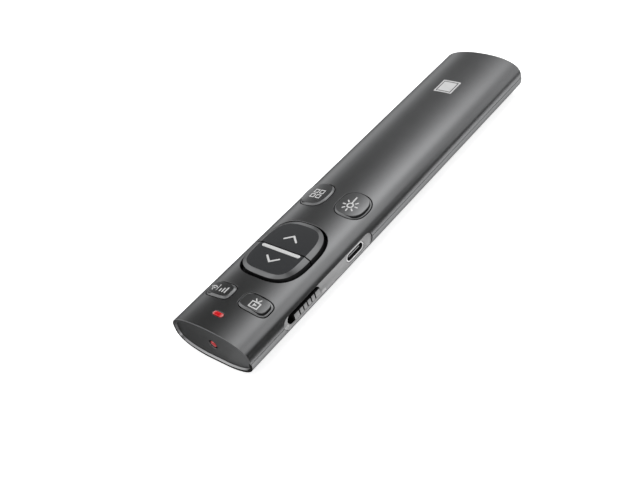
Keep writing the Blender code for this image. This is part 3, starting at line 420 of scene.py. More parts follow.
def lipRings(outlineAt, ringAt, radius, floor, ceiling):
    # a straight wall, a rounded lip, and a flare that clears the surface
    rings = [floor(outlineAt(0))]
    stop = math.radians(lipShape["turn"])
    for step in range(lipShape["steps"] + 1):
        angle = stop * step / lipShape["steps"]
        rings.append(ringAt(outlineAt(radius * (1 - math.cos(angle))), radius * (math.sin(angle) - 1)))
    run = lipShape["flare"] * radius
    flared = outlineAt(radius * (1 - math.cos(stop)) + run * math.sin(stop))
    rings.append(ringAt(flared, radius * (math.sin(stop) - 1) + run * math.cos(stop)))
    rings.append(ceiling(flared))
    return rings


def openingCutter(name, kind, side):
    return loftPiece(name, lipRings(
        lambda grow: openingOutline(kind, side, grow), crownRing, case["lipRound"],
        lambda outline: flatRing(outline, midZ + cutReach["floor"]),
        lambda outline: flatRing(outline, shellHigh.z + cutReach["above"]),
    ))


stripPlace = {
    "front": 15.6 * mm, "rear": 60.7 * mm, "height": 4.7 * mm, "drop": 0.23 * mm, "setIn": 0.37 * mm,
    "gap": 0.03 * mm, "thickness": 1.2 * mm, "edgeRound": 0.08 * mm,
}
stripFace = halfWidth - stripPlace["setIn"]


def stripOutline(grow=0.0):
    middle = (fromNose((stripPlace["front"] + stripPlace["rear"]) / 2), midZ - stripPlace["drop"])
    return pillOutline(stripPlace["rear"] - stripPlace["front"], stripPlace["height"], middle, 24, grow)


def sideRoom(name):
    outline = stripOutline(stripPlace["gap"])
    return loftPiece(name, [
        sideRing(outline, x) for x in (stripFace - cutReach["side"], halfWidth + cutReach["side"])
    ])


def seamCutter(name, upward):
    # everything past the seam, with a bevel that leaves a fine groove outside
    level = seamZ - upward * case["seamGap"] / 2
    bevel, reach = case["seamBevel"], cutReach["seam"]
    wide, far = halfWidth + reach, midZ + upward * cutReach["far"]
    slope = level - upward * (bevel + reach)
    outline = [
        (-wide, far), (-wide, slope), (-halfWidth + bevel, level),
        (halfWidth - bevel, level), (wide, slope), (wide, far),
    ]
    return loftPiece(name, [
        [Vector((x, y, z)) for x, z in outline] for y in (noseY - reach, tailY + reach)
    ])


def caseBody(name):
    rings = []
    for back, inward in quarterRound(case["roundSteps"]):
        rings.append(sectionRing(noseY + case["noseRound"] * back, case["noseRound"] * inward))
        rings.append(sectionRing(tailY - case["tailRound"] * back, case["tailRound"] * inward))
    rings.sort(key=lambda ring: ring[0].y)
    return loftPiece(name, rings, ("paint", "bareWallAndShade", "bevelHighlight", "blackAndDeepShade"))


def caseHollows():
    # the rim's hollow opens in a bevel, and the main hollow starts just inside its rear end
    steps, rim = case["hollowSteps"], case["rimWall"]
    bevelled = rim - case["rimBevel"]
    front = loftPiece("noseHollow", [
        sectionRing(noseY - cutReach["rimFront"], bevelled - cutReach["rimFlare"], steps),
        sectionRing(noseY, bevelled, steps),
        sectionRing(noseY + case["rimBevelDepth"], rim, steps),
        sectionRing(noseY + case["rimDepth"], rim, steps),
    ])
    start = noseY + case["rimDepth"] - cutReach["hollowOverlap"]
    main = loftPiece("mainHollow", [
        sectionRing(y, case["wall"], steps) for y in (start, tailY - case["wall"])
    ])
    return [front, main]


# limits that tell the outer skin and the rim's bevel from the other faces
skinTest = {"depth": 0.02 * mm, "facing": 0.93, "flat": 0.001 * mm, "leastShare": 1e-4, "sharpAngle": 18,
            "bevelFacing": (-0.9, -0.3)}


def skinShares(point):
    # the curve at a point's level, and how far out the point is in shares of the reach
    curve = curveOf(point.z >= midZ)
    return curve, abs(point.x) / halfWidth, abs(point.z - midZ) / curve[2]


def skinNormal(point):
    # the direction straight out of the case's skin, turned towards the ends where they are rounded
    (acrossPower, upPower, reach), x, z = skinShares(point)
    side = Vector((
        math.copysign(acrossPower * x ** (acrossPower - 1) / halfWidth, point.x), 0,
        math.copysign(upPower * z ** (upPower - 1) / reach, point.z - midZ),
    )).normalized()
    if point.z < skinTest["flat"]:
        side = Vector((0, 0, -1))
    nose = (noseY + case["noseRound"] - point.y) / case["noseRound"]
    tail = (point.y - tailY + case["tailRound"]) / case["tailRound"]
    along = -min(1, nose) if nose > 0 else min(1, tail) if tail > 0 else 0
    return side * math.sqrt(1 - along * along) + Vector((0, along, 0))


def skinDepth(point):
    # roughly how deep a point lies under the case's skin
    (acrossPower, upPower, reach), x, z = skinShares(point)
    value = x ** acrossPower + z ** upPower
    least = skinTest["leastShare"]
    slope = math.hypot(acrossPower * max(x, least) ** (acrossPower - 1) / halfWidth,
                       upPower * max(z, least) ** (upPower - 1) / reach)
    deep = (1 - value) / slope
    if point.z < midZ:
        deep = min(deep, point.z)
    endDeep = min(point.y - noseY, tailY - point.y)
    return min(deep, max(endDeep, 0)) if endDeep < case["tailRound"] else deep


def onRimBevel(face):
    # the bevel inside the rim looks forwards and towards the case's middle
    steep, flat = skinTest["bevelFacing"]
    if face.center.y > noseY + case["rimBevelDepth"] or not steep < face.normal.y < flat:
        return False
    return face.normal.x * face.center.x + face.normal.z * (face.center.z - midZ) < 0


def dressSkin(piece):
    # smooth shading worked out from the curve outside; black on walls and inner faces, bare plastic and
    # painted shade; a painted highlight on the rim's bevel
    mesh = piece.data
    smoothShade(piece, skinTest["sharpAngle"])
    normals = [Vector((0, 0, 0))] * len(mesh.loops)
    for face in mesh.polygons:
        points = [mesh.vertices[mesh.loops[loop].vertex_index].co for loop in face.loop_indices]
        if all(skinDepth(point) <= skinTest["depth"]
               and skinNormal(point).dot(face.normal) >= skinTest["facing"] for point in points):
            for loop, point in zip(face.loop_indices, points):
                normals[loop] = skinNormal(point)
        # faces deeper than the paint are black: bare plastic and painted shade in the holes
        bare = skinDepth(face.center) > case["paintDepth"] and face.center.y > noseY + case["rimPaint"]
        # the lower half's front edge is black, a painted shade along the bottom of the nose
        lowerEdge = face.center.z < seamZ and face.center.y < noseY + case["noseRound"]
        # the rim's bevel takes the lighter copy of the paint, a painted highlight
        face.material_index = 2 if onRimBevel(face) else 3 if lowerEdge else 1 if bare else 0
    mesh.normals_split_custom_set(normals)


# screw wells in the belly, with bosses round them inside
wellValues = {"radius": 1.85 * mm, "seat": 2.7 * mm, "bevel": 0.2 * mm, "flare": 2 * mm, "screws": 4,
              "bossWall": 0.6 * mm, "bossFoot": 2.0 * mm, "bossTop": 4.6 * mm}


def screwMiddles():
    middles = []
    for number in range(1, wellValues["screws"] + 1):
        low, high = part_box("case_screw_%d" % number)
        middles.append(((low.x + high.x) / 2, (low.y + high.y) / 2))
    return middles


def wellCutters():
    cutters = []
    radius, bevel, flare = wellValues["radius"], wellValues["bevel"], wellValues["flare"]
    for number, middle in enumerate(screwMiddles()):
        share = (1 - (abs(middle[0]) / halfWidth) ** case["bellyAcross"]) ** (1 / case["bellyUp"])
        bottom = midZ - case["bellyDrop"] * share
        cutters.append(loftPiece("well%d" % number, [
            flatRing(circleOutline(radius + bevel + flare, middle), bottom - flare),
            flatRing(circleOutline(radius + bevel / 2, middle), bottom + bevel / 2),
            flatRing(circleOutline(radius, middle), bottom + bevel * 1.5),
            flatRing(circleOutline(radius, middle), wellValues["seat"]),
        ]))
    return cutters


def wellBosses():
    radius = wellValues["radius"] + wellValues["bossWall"]
    return [
        loftPiece("boss%d" % number, [
            flatRing(circleOutline(radius, middle), wellValues[level]) for level in ("bossFoot", "bossTop")
        ])
        for number, middle in enumerate(screwMiddles())
    ]


upperCase = caseBody("upperCase")
cutters = [seamCutter("belowSeam", -1)] + caseHollows()
cutters += [openingCutter(name + "Opening", *kind) for name, kind in smallAndRoundKeys.items()]
cutters += [openingCutter(kind + "Opening", kind, 1) for kind in ("page", "light")]
cutAway(upperCase, cutters + [sideRoom("upperSideRoom")])
dressSkin(upperCase)
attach(upperCase, "housing")
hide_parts("top_shell")

lowerCase = caseBody("lowerCase")
cutAway(lowerCase, [seamCutter("aboveSeam", 1)] + caseHollows())
cutAway(lowerCase, wellBosses(), "UNION")
cutAway(lowerCase, wellCutters() + [sideRoom("lowerSideRoom")])
dressSkin(lowerCase)
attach(lowerCase, "housing")
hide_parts("bottom_shell")
print("case halves made")


# nose cap and laser window

capValues = {"recess": 0.7 * mm, "thickness": 1.2 * mm, "gap": 0.03 * mm, "edgeRound": 0.06 * mm, "steps": 80,
             "aperture": 1.7 * mm, "apertureRound": 0.18 * mm, "boreClear": 1 * mm, "boreDepth": 3 * mm}
windowValues = {"setBack": 0.20 * mm, "radius": 1.15 * mm, "dome": 0.3 * mm, "flangeGap": 0.1 * mm,
                "domeShares": (0.02, 0.25, 0.5, 0.75, 0.92, 1.0)}
windowLow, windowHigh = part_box("laser_window")
laserZ = (windowLow.z + windowHigh.z) / 2
capFront = fromNose(capValues["recess"])


def turnedRing(radius, y):
    return [Vector((x, y, z)) for x, z in circleOutline(radius, (0, laserZ))]


def noseCap():
    inset, edge, steps = case["rimWall"] + capValues["gap"], capValues["edgeRound"], capValues["steps"]
    # from the face to the side, so the two shares trade places
    rings = [
        sectionRing(capFront + edge * inward, inset + edge * back, steps)
        for back, inward in quarterRound(4)
    ]
    rings.append(sectionRing(capFront + capValues["thickness"], inset, steps))
    cap = loftPiece("noseCap", rings, ("paint", "bareWallAndShade"))
    hole, lip, clear = capValues["aperture"], capValues["apertureRound"], capValues["boreClear"]
    bore = loftPiece("apertureBore", [
        turnedRing(hole + lip + clear, capFront - clear), turnedRing(hole + lip * 0.3, capFront + lip * 0.15),
        turnedRing(hole, capFront + lip), turnedRing(hole, capFront + capValues["boreDepth"]),
    ])
    cutAway(cap, [bore])
    smoothShade(cap, 35)
    # the bore's walls are black: painted shade inside the aperture
    for face in cap.data.polygons:
        away = math.hypot(face.center.x, face.center.z - laserZ)
        if away < hole + 0.01 * mm and face.center.y > capFront + lip:
            face.material_index = 1
    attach(cap, "housing")
    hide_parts("nose_cap")


def laserWindow():
    # a domed face that glows as painted light though the laser is off, and a flange behind the cap, black as
    # painted shade
    radius, flange = windowValues["radius"], (windowHigh.x - windowLow.x) / 2
    front = capFront + windowValues["setBack"]
    flangeY = capFront + capValues["thickness"] + windowValues["flangeGap"]
    rings = [
        turnedRing(radius * share, front - windowValues["dome"] * (1 - share * share))
        for share in windowValues["domeShares"]
    ]
    domeRows = len(rings)
    rings += [turnedRing(radius, flangeY), turnedRing(flange, flangeY), turnedRing(flange, windowHigh.y)]
    window = loftPiece("laserWindow", rings, ("laserRedGlow", "bareWallAndShade"),
                       ringFinish=[0] * domeRows + [1, 1])
    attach(window, "housing")
    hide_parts("laser_window")


noseCap()
laserWindow()

# status light: a domed red pill, over the guide that the CAD has, with pale ends as painted highlights
lightValues = {
    "gap": 0.22 * mm, "highlightColour": (0.50, 0.20, 0.19), "highlightFrom": 0.9 * mm, "highlightTo": 1.9 * mm,
    # inwards from the pill's edge and up from the case, in mm
    "dome": ((0, -0.6), (0, 0.0), (0.06, 0.05), (0.2, 0.09), (0.45, 0.11), (0.7, 0.12)),
}


def statusLens():
    # pale ends on the red: painted highlights
    paintedHighlightEnds(finishes["red"], lightValues["highlightColour"], lightValues["highlightFrom"], lightValues["highlightTo"])
    lens = loftPiece("statusLens", [
        crownRing(openingOutline("light", grow=-lightValues["gap"] - inward * mm), rise * mm)
        for inward, rise in lightValues["dome"]
    ], ("red",))
    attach(lens, "housing")


statusLens()
print("nose made")


# small and round keys

keyValues = {
    "gap": 0.22 * mm, "ring": {"small": 0.64 * mm, "round": 0.5 * mm}, "ringShift": 0.15 * mm,
    "innerRise": 0.45 * mm, "outerRise": 0.60 * mm, "risePower": 1.6,
    "wallFrom": 7.5 * mm, "wallTo": 11 * mm, "topRings": 14,
    "flange": 0.3 * mm, "flangeFoot": 0.7 * mm, "flangeThickness": 0.6 * mm,
    # the ring's rounded edge, in mm inwards and up from the case
    "ringEdge": ((0, -0.16), (0.02, -0.07), (0.06, -0.01), (0.12, 0.03)),
    # the top's wall and rounded edge, in mm inwards and shares of its height over the ring
    "topEdge": ((0.015, 0.6), (0.03, 0.84), (0.07, 0.94), (0.13, 0.985), (0.22, 1)),
}


def keyTopZ(x):
    # the top is flatter than the case, so it stands proud towards the case's side
    outer = halfWidth - openings["round"]["sideMargin"]
    inner = openings["round"]["innerEdge"]
    share = min(1, max(0, (abs(x) - inner) / (outer - inner)))
    return crownZ(x) + keyValues["innerRise"] + keyValues["outerRise"] * share ** keyValues["risePower"]


def keyRingZ(x):
    # the ring meets the top at the inner side, and leaves a wall below the top at the outer side
    start, end = keyValues["wallFrom"], keyValues["wallTo"]
    share = min(1, max(0, (abs(x) - start) / (end - start)))
    wall = share * share * (3 - 2 * share)
    return keyTopZ(x) + wall * (crownZ(x) - keyTopZ(x))


def keyTopOutline(kind, side, grow):
    # the top sits a little outwards, so that the ring is widest at the inner side
    outline = openingOutline(kind, side, grow - keyValues["gap"] - keyValues["ring"][kind])
    return [(x + side * keyValues["ringShift"], y) for x, y in outline]


def keyTopRing(outline, share=1):
    # from the ring's level at share 0 to the top's at 1
    return [Vector((x, y, keyRingZ(x) + share * (keyTopZ(x) - keyRingZ(x)))) for x, y in outline]


def smallOrRoundKey(name, kind, side):
    node = name + "_key"
    low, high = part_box(node)
    gap, flange = keyValues["gap"], openingOutline(kind, side, keyValues["flange"])
    flangeBottom = low.z + keyValues["flangeFoot"]
    flangeTop = flangeBottom + keyValues["flangeThickness"]
    rings = [flatRing(flange, flangeBottom), flatRing(flange, flangeTop),
             flatRing(openingOutline(kind, side, -gap), flangeTop)]
    skirtRows = len(rings) + 1
    for inward, rise in keyValues["ringEdge"]:
        rings.append(crownRing(openingOutline(kind, side, -gap - inward * mm), rise * mm))
    rings.append(keyTopRing(keyTopOutline(kind, side, 0), 0))
    wallRows = (len(rings) - 1, len(rings))
    for inward, share in keyValues["topEdge"]:
        inner = keyTopOutline(kind, side, -inward * mm)
        rings.append(keyTopRing(inner, share))
    for step in range(1, keyValues["topRings"]):
        scale = 1 - step / keyValues["topRings"]
        rings.append(keyTopRing(scaleOutline(inner, openingMiddle(kind, side), scale)))
    # the skirt and the top's wall are black: bare plastic and painted shade in the gap round the key
    dark = [1 if row < skirtRows or row in wallRows else 0 for row in range(len(rings) - 1)]
    key = loftPiece(name + "Key", rings, ("paint", "bareWallAndShade"), dark, 40)
    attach(key, name)
    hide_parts(node)


for name, (kind, side) in smallAndRoundKeys.items():
    smallOrRoundKey(name, kind, side)

# the large key: a flat dark top in a painted slope, on a black skirt that is bare plastic and painted shade;
# half widths and powers of each outline
pageValues = {
    "side": {"half": 11.35 * mm, "shift": 0.0, "front": 12.2 * mm, "rear": 13.2 * mm,
             "frontPower": 3.05, "rearPower": 2.6},
    "top": {"half": 9.15 * mm, "shift": 0.25 * mm, "front": 10.55 * mm, "rear": 11.3 * mm,
            "frontPower": 4.2, "rearPower": 3.15},
    "rise": 0.57 * mm, "edgeDrop": 0.04 * mm, "sideDrop": 0.43 * mm, "edgeRound": 0.08 * mm, "edgeTurn": 62,
    "edgeSteps": 3,
    "crease": 0.16 * mm, "creaseDrop": 0.035 * mm, "slopeShares": (0.25, 0.5, 0.75),
    "topRound": 0.05 * mm, "topDrop": 0.008 * mm, "sharpAngle": 13,
    "splitFromNose": 37.1 * mm, "splitGap": 0.44 * mm,
    "flange": 0.3 * mm, "flangeRise": 2.5 * mm, "flangeThickness": 0.6 * mm,
}
pageTopZ = shellHigh.z + pageValues["rise"]
pageMiddle = openingMiddle("page")


def pageOutline(form, grow=0.0, steps=144):
    form = pageValues[form]
    points = []
    for step in range(steps):
        angle = 2 * math.pi * step / steps
        across, along = math.cos(angle), math.sin(angle)
        end = "rear" if along > 0 else "front"
        power = form[end + "Power"]
        aside = math.copysign((form["half"] + grow) * abs(across) ** (2 / power), across)
        points.append((
            pageMiddle[0] + form["shift"] + aside,
            pageMiddle[1] + math.copysign((form[end] + grow) * abs(along) ** (2 / power), along),
        ))
    return points


def pageEdgeZ(x):
    share = abs(x) / pageValues["side"]["half"]
    drop = pageValues["edgeDrop"] + pageValues["sideDrop"] * share ** case["crownAcross"]
    return shellHigh.z - drop


def pageRings():
    # gives the rings and how many rows of them are skirt
    flangeBottom = midZ + pageValues["flangeRise"]
    flangeTop = flangeBottom + pageValues["flangeThickness"]
    hole = openings["page"]
    flange = superOutline(hole["across"], hole["along"], hole["power"], pageMiddle, 144, pageValues["flange"])
    rings = [flatRing(flange, flangeBottom), flatRing(flange, flangeTop),
             flatRing(pageOutline("side"), flangeTop)]
    skirtRows, radius = len(rings), pageValues["edgeRound"]
    for step in range(pageValues["edgeSteps"] + 1):
        angle = math.radians(pageValues["edgeTurn"]) * step / pageValues["edgeSteps"]
        rings.append([
            Vector((x, y, pageEdgeZ(x) - radius * (1 - math.sin(angle))))
            for x, y in pageOutline("side", -radius * (1 - math.cos(angle)))
        ])
    shoulder = rings[-1]
    crease = flatRing(pageOutline("top", pageValues["crease"]), pageTopZ - pageValues["creaseDrop"])
    for share in pageValues["slopeShares"]:
        rings.append([a.lerp(b, share) for a, b in zip(shoulder, crease)])
    rings.append(crease)
    rings.append(flatRing(pageOutline("top", pageValues["topRound"]), pageTopZ - pageValues["topDrop"]))
    rings.append(flatRing(pageOutline("top", -pageValues["topRound"]), pageTopZ))
    return rings, skirtRows


def pageKey(name, keepRear):
    rings, skirtRows = pageRings()
    slopeRows = len(rings) - 3 - skirtRows
    key = loftPiece(name + "Key", rings, ("paint", "keyTop", "bareWallAndShade"),
                    ringFinish=[2] * skirtRows + [0] * slopeRows + [1, 1], sharpAngle=40)
    edge = fromNose(pageValues["splitFromNose"]) + (1 if keepRear else -1) * pageValues["splitGap"] / 2
    work = bmesh.new()
    work.from_mesh(key.data)
    cut = bmesh.ops.bisect_plane(
        work, geom=work.verts[:] + work.edges[:] + work.faces[:], plane_co=(0, edge, 0), plane_no=(0, 1, 0),
        clear_inner=keepRear, clear_outer=not keepRear,
    )
    rim = [item for item in cut["geom_cut"] if isinstance(item, bmesh.types.BMEdge)]
    # the faces cut at the split are black: painted shade in the gap between the halves
    for face in bmesh.ops.holes_fill(work, edges=rim, sides=0)["faces"]:
        face.material_index = 2
    bmesh.ops.recalc_face_normals(work, faces=work.faces)
    work.to_mesh(key.data)
    work.free()
    smoothShade(key, pageValues["sharpAngle"])
    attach(key, name)
    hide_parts(name + "_key")
    return key


pageDown = pageKey("page_down", False)
pageKey("page_up", True)

# the silver bar along the split, in a groove of the front half
barValues = {"length": 16.0 * mm, "width": 1.3 * mm, "depth": 0.6 * mm, "fit": 0.08 * mm, "proud": 0.12 * mm,
             "edgeRound": 0.22 * mm, "grooveTop": 1 * mm}
splitFront = fromNose(pageValues["splitFromNose"]) - pageValues["splitGap"] / 2
barMiddle = (pageValues["top"]["shift"], splitFront - barValues["width"] / 2)


def barRing(grow, z):
    return flatRing(pillOutline(barValues["length"], barValues["width"], barMiddle, grow=grow), z)


def dividerBar():
    bottom, top = pageTopZ - barValues["depth"], pageTopZ + barValues["proud"]
    groove = loftPiece("barGroove", [
        barRing(barValues["fit"], z) for z in (bottom, pageTopZ + barValues["grooveTop"])
    ])
    cutAway(pageDown, [groove])
    smoothShade(pageDown, pageValues["sharpAngle"])
    rings = [barRing(0, bottom + barValues["fit"])]
    radius = barValues["edgeRound"]
    rings += [barRing(-radius * inward, top - radius * back) for back, inward in quarterRound(5)]
    bar = loftPiece("dividerBar", rings, ("bar",), sharpAngle=40)
    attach(bar, "page_down")
    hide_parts("divider_bar")


dividerBar()
print("keys made")


# printed marks: flat strokes that lie on a surface

strokeShape = {
    "thickness": 0.02 * mm, "step": 0.35 * mm,  # steps short enough to follow a curved surface
    "leastMitre": 0.35, "endShares": (0.35, 0.65, 0.86, 0.97),  # a corner's sharpness, and a round end's rows
}


def strokeRows(points, halfStroke, closed=False):
    # pairs of points left and right of a line, with mitred corners and round ends
    rows = []
    count = len(points)
    spots = [Vector(point) for point in points]
    for index, spot in enumerate(spots):
        directions = []
        if closed or index > 0:
            directions.append((spot - spots[index - 1]).normalized())
        if closed or index < count - 1:
            directions.append((spots[(index + 1) % count] - spot).normalized())
        normals = [Vector((-direction.y, direction.x)) for direction in directions]
        mitre = sum(normals, Vector((0, 0))).normalized()
        reach = halfStroke / max(strokeShape["leastMitre"], mitre.dot(normals[0]))
        rows.append((spot + mitre * reach, spot - mitre * reach))
    if closed:
        return rows
    ends = []
    for spot, other in ((spots[0], spots[1]), (spots[-1], spots[-2])):
        direction = (spot - other).normalized()
        normal = Vector((-direction.y, direction.x))
        cap = []
        for share in strokeShape["endShares"]:
            out = spot + direction * halfStroke * share
            half = normal * halfStroke * math.sqrt(1 - share * share)
            cap.append((out + half, out - half))
        ends.append(cap)
    first = [(right, left) for left, right in reversed(ends[0])]
    return first + rows + ends[1]


def fineLine(points, closed=False):
    # the same line with more points
    fine = []
    after = points[1:] + points[:1] if closed else points[1:]
    for start, end in zip(points, after):
        parts = max(1, math.ceil(math.dist(start, end) / strokeShape["step"]))
        for part in range(parts):
            share = part / parts
            fine.append((start[0] + (end[0] - start[0]) * share, start[1] + (end[1] - start[1]) * share))
    if not closed:
        fine.append(points[-1])
    return fine


def printedMark(name, strokes, surface, body):
    # strokes are (points, width, closed); surface gives a point for a pair and a height above it
    points, faces = [], []
    for line, width, closed in strokes:
        rows = strokeRows(fineLine(line, closed), width / 2, closed)
        base = len(points)
        for left, right in rows:
            for spot, lift in ((left, -1), (right, -1), (right, 1), (left, 1)):
                points.append(surface(spot[0], spot[1], strokeShape["thickness"] * lift))
        faces += bandFaces(len(rows), 4, base, closed)
        if not closed:
            last = len(points) - 4
            faces += [(base, base + 3, base + 2, base + 1), (last, last + 1, last + 2, last + 3)]
    mark = makePiece(name, points, faces, (finishes["print"],))
    faceOut(mark)
    smoothShade(mark)
    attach(mark, body)


def onPage(x, y, lift):
    return x, y, pageTopZ + lift


def onKey(x, y, lift):
    return x, y, keyTopZ(x) + lift


def onCrown(x, y, lift):
    return x, y, crownZ(x) + lift


chevronValues = {
    "width": 0.66 * mm, "reach": 2.52 * mm,
    "page_up": {"tip": 43.3 * mm, "ends": 41.2 * mm}, "page_down": {"tip": 30.7 * mm, "ends": 32.7 * mm},
}


def chevrons():
    reach = chevronValues["reach"]
    for name in ("page_up", "page_down"):
        tipY, endY = (fromNose(chevronValues[name][place]) for place in ("tip", "ends"))
        line = [(-reach, endY), (0, tipY), (reach, endY)]
        printedMark(name + "Chevron", [(line, chevronValues["width"], False)], onPage, name)


screenValues = {
    "left": 6.6 * mm, "right": 9.7 * mm, "front": 13.25 * mm, "rear": 15.4 * mm, "line": 0.37 * mm,
    # in mm from the screen's middle, and the antennas' heights from its rear edge
    "playLine": 0.42 * mm, "play": ((-0.32, -0.3), (0.34, 0), (-0.32, 0.3)),
    "antennas": (((-0.25, 0.3), (-1.0, 1.1)), ((0.4, 0.35), (0.9, 1.3))),
}


def screenMark():
    # a screen with a play sign in it and two short antennas
    low = (screenValues["left"], fromNose(screenValues["front"]))
    high = (screenValues["right"], fromNose(screenValues["rear"]))
    middle = ((low[0] + high[0]) / 2, (low[1] + high[1]) / 2)
    line = screenValues["line"]
    play = [(middle[0] + x * mm, middle[1] + y * mm) for x, y in screenValues["play"]]
    strokes = [(boxOutline(low, high), line, True), (play, screenValues["playLine"], True)]
    for antenna in screenValues["antennas"]:
        strokes.append(([(middle[0] + x * mm, high[1] + y * mm) for x, y in antenna], line, False))
    printedMark("screenMark", strokes, onKey, "screen")


burstValues = {"middle": (7.45 * mm, 63.4 * mm), "radius": 1.0 * mm, "line": 0.5 * mm, "rays": 8, "turn": 93,
               "longRay": (1.2 * mm, 4.0 * mm), "shortRay": (1.85 * mm, 2.65 * mm)}


def burstMark():
    # a ring with short rays all round and one long ray to the rear
    center = (burstValues["middle"][0], fromNose(burstValues["middle"][1]))
    line, rays = burstValues["line"], burstValues["rays"]
    strokes = [(arc(center, burstValues["radius"], 0, 345, 23), line, True)]
    for number in range(rays):
        angle = math.radians(burstValues["turn"] + 360 / rays * number)
        ray = burstValues["longRay" if number == 0 else "shortRay"]
        ends = [(center[0] + r * math.cos(angle), center[1] + r * math.sin(angle)) for r in ray]
        strokes.append((ends, line, False))
    printedMark("burstMark", strokes, onKey, "laser")


gridValues = {"middle": (-7.1 * mm, 64.2 * mm), "apart": 1.2 * mm, "half": 0.78 * mm, "line": 0.36 * mm}


def gridMark():
    # four small outlined squares, two by two
    x, y = gridValues["middle"][0], fromNose(gridValues["middle"][1])
    strokes = []
    for across in (-1, 1):
        for along in (-1, 1):
            center = (x + across * gridValues["apart"], y + along * gridValues["apart"])
            strokes.append((squareOutline(center, gridValues["half"]), gridValues["line"], True))
    printedMark("gridMark", strokes, onKey, "menu")


signalValues = {
    "middle": 15.1 * mm, "foot": 1.2 * mm, "dot": 0.05 * mm, "line": 0.5 * mm,
    "waveX": -9.6 * mm, "arcs": (0.85 * mm, 1.6 * mm), "arcLine": 0.34 * mm,
    "dividerX": -7.9 * mm, "dividerLine": 0.25 * mm,
    "barFoot": 1.05 * mm, "bars": ((-6.5, -0.15), (-5.4, 0.45), (-4.3, 1.05)),  # place and far end in mm
}


def signalMark():
    # plain signal arcs, a divider and three bars of rising height
    y, line, dot = fromNose(signalValues["middle"]), signalValues["line"], signalValues["dot"]
    wave, dividerX = (signalValues["waveX"], y - signalValues["foot"]), signalValues["dividerX"]
    strokes = [([(wave[0] - dot, wave[1]), (wave[0] + dot, wave[1])], line, False)]
    for radius in signalValues["arcs"]:
        strokes.append((arc(wave, radius, 45, 135, 8), signalValues["arcLine"], False))
    divider = [(dividerX, wave[1]), (dividerX, y + signalValues["foot"])]
    strokes.append((divider, signalValues["dividerLine"], False))
    for x, end in signalValues["bars"]:
        strokes.append(([(x * mm, y - signalValues["barFoot"]), (x * mm, y + end * mm)], line, False))
    printedMark("signalMark", strokes, onKey, "signal")


# half side and line width: the frame, and two that fill the square in it
tailValues = {
    "middle": 134.0 * mm, "squares": ((3.45 * mm, 0.6 * mm), (2.0 * mm, 1.5 * mm), (0.75 * mm, 1.5 * mm)),
}


def tailMark():
    # a plain printed square in a thin frame
    center = (0, fromNose(tailValues["middle"]))
    strokes = [(squareOutline(center, half), width, True) for half, width in tailValues["squares"]]
    printedMark("tailMark", strokes, onCrown, "housing")


chevrons()
screenMark()
burstMark()
gridMark()
signalMark()
tailMark()
print("marks printed")


# side strip, thumb slide and charging port

sliderLow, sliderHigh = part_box("power_slider")
portLow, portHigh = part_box("usb_shell")
slotValues = {"front": 17.75 * mm, "length": 15.75 * mm, "height": 3.6 * mm, "rise": 0.05 * mm,
              "lip": 0.15 * mm, "shadeDepth": 0.2 * mm, "shadePast": 0.5 * mm}
portValues = {
    "back": 0.25 * mm, "down": 0.25 * mm, "wall": 0.42 * mm, "fit": 0.12 * mm,
    "mouthRound": 0.12 * mm, "mouthSteps": 6,
    "tongueWidth": 5.7 * mm, "tongueThickness": 0.5 * mm, "tongueBack": 0.4 * mm, "tongueRoot": 2 * mm,
    "taper": ((0.2, 0), (0.06, 0.08), (0, 0.2)),  # in mm back from the tip and inwards
    "blockGap": 0.15 * mm, "blockDepth": 2.2 * mm,
}
slotZ = (portLow.z + portHigh.z) / 2
portZ = slotZ - portValues["down"]
portY = (portLow.y + portHigh.y) / 2 + portValues["back"]


def slotOutline(grow=0.0):
    middle = (fromNose(slotValues["front"] + slotValues["length"] / 2), slotZ + slotValues["rise"])
    return pillOutline(slotValues["length"], slotValues["height"], middle, 20, grow)


def portOutline(grow=0.0):
    return pillOutline(portHigh.y - portLow.y, portHigh.z - portLow.z, (portY, portZ), 20, grow)


def sideCutter(name, outlineAt, lip):
    return loftPiece(name, lipRings(
        outlineAt, lambda outline, rise: sideRing(outline, stripFace + rise), lip,
        lambda outline: sideRing(outline, stripFace - cutReach["slot"]),
        lambda outline: sideRing(outline, stripFace + cutReach["side"]),
    ))


stripBack = {"lip": 0.5 * mm, "lipFront": 0.15 * mm, "lipRear": 0.8 * mm}  # a wider foot behind the case wall


def sideStrip():
    edge, back = stripPlace["edgeRound"], stripFace - stripPlace["thickness"]
    wide, front = stripOutline(stripBack["lip"]), back - stripBack["lipFront"]
    rings = [sideRing(wide, back - stripBack["lipRear"]), sideRing(wide, front),
             sideRing(stripOutline(), front)]
    for short, inward in quarterRound(5):
        rings.append(sideRing(stripOutline(-edge * inward), stripFace - edge * short))
    strip = loftPiece("sideStrip", rings, ("strip", "blackAndDeepShade"))
    cutAway(strip, [
        sideCutter("slotCutter", slotOutline, slotValues["lip"]),
        sideCutter("portCutter", lambda grow: portOutline(grow + portValues["fit"]), portValues["fit"]),
    ])
    smoothShade(strip, 35)
    # faces deep in the slot are black: painted shade
    slotEnd = fromNose(slotValues["front"] + slotValues["length"] + slotValues["shadePast"])
    for face in strip.data.polygons:
        if face.center.x < stripFace - slotValues["shadeDepth"] and face.center.y < slotEnd:
            face.material_index = 1
    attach(strip, "housing")
    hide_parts("side_strip")


ribValues = {
    "front": 20.45 * mm, "rear": 33.2 * mm, "top": 1.15 * mm, "bottom": 1.65 * mm, "edgeRound": 0.6 * mm,
    "root": 0.6 * mm, "plateThickness": 0.7 * mm, "plateRise": 1.0 * mm, "plateDrop": 2.05 * mm,
    # the rounded ends, in mm from the end and down from the face
    "endRound": ((0, 0.35), (0.06, 0.17), (0.17, 0.06), (0.35, 0)),
    "shadeFacing": (0.35, -0.9, -0.6),  # upwards, downwards and forwards, as parts of the facing direction
}
ribGrooves = {"first": 23.0 * mm, "pitch": 1.90 * mm, "count": 5, "top": 0.5 * mm, "floor": 0.3 * mm,
              "depth": 0.5 * mm}


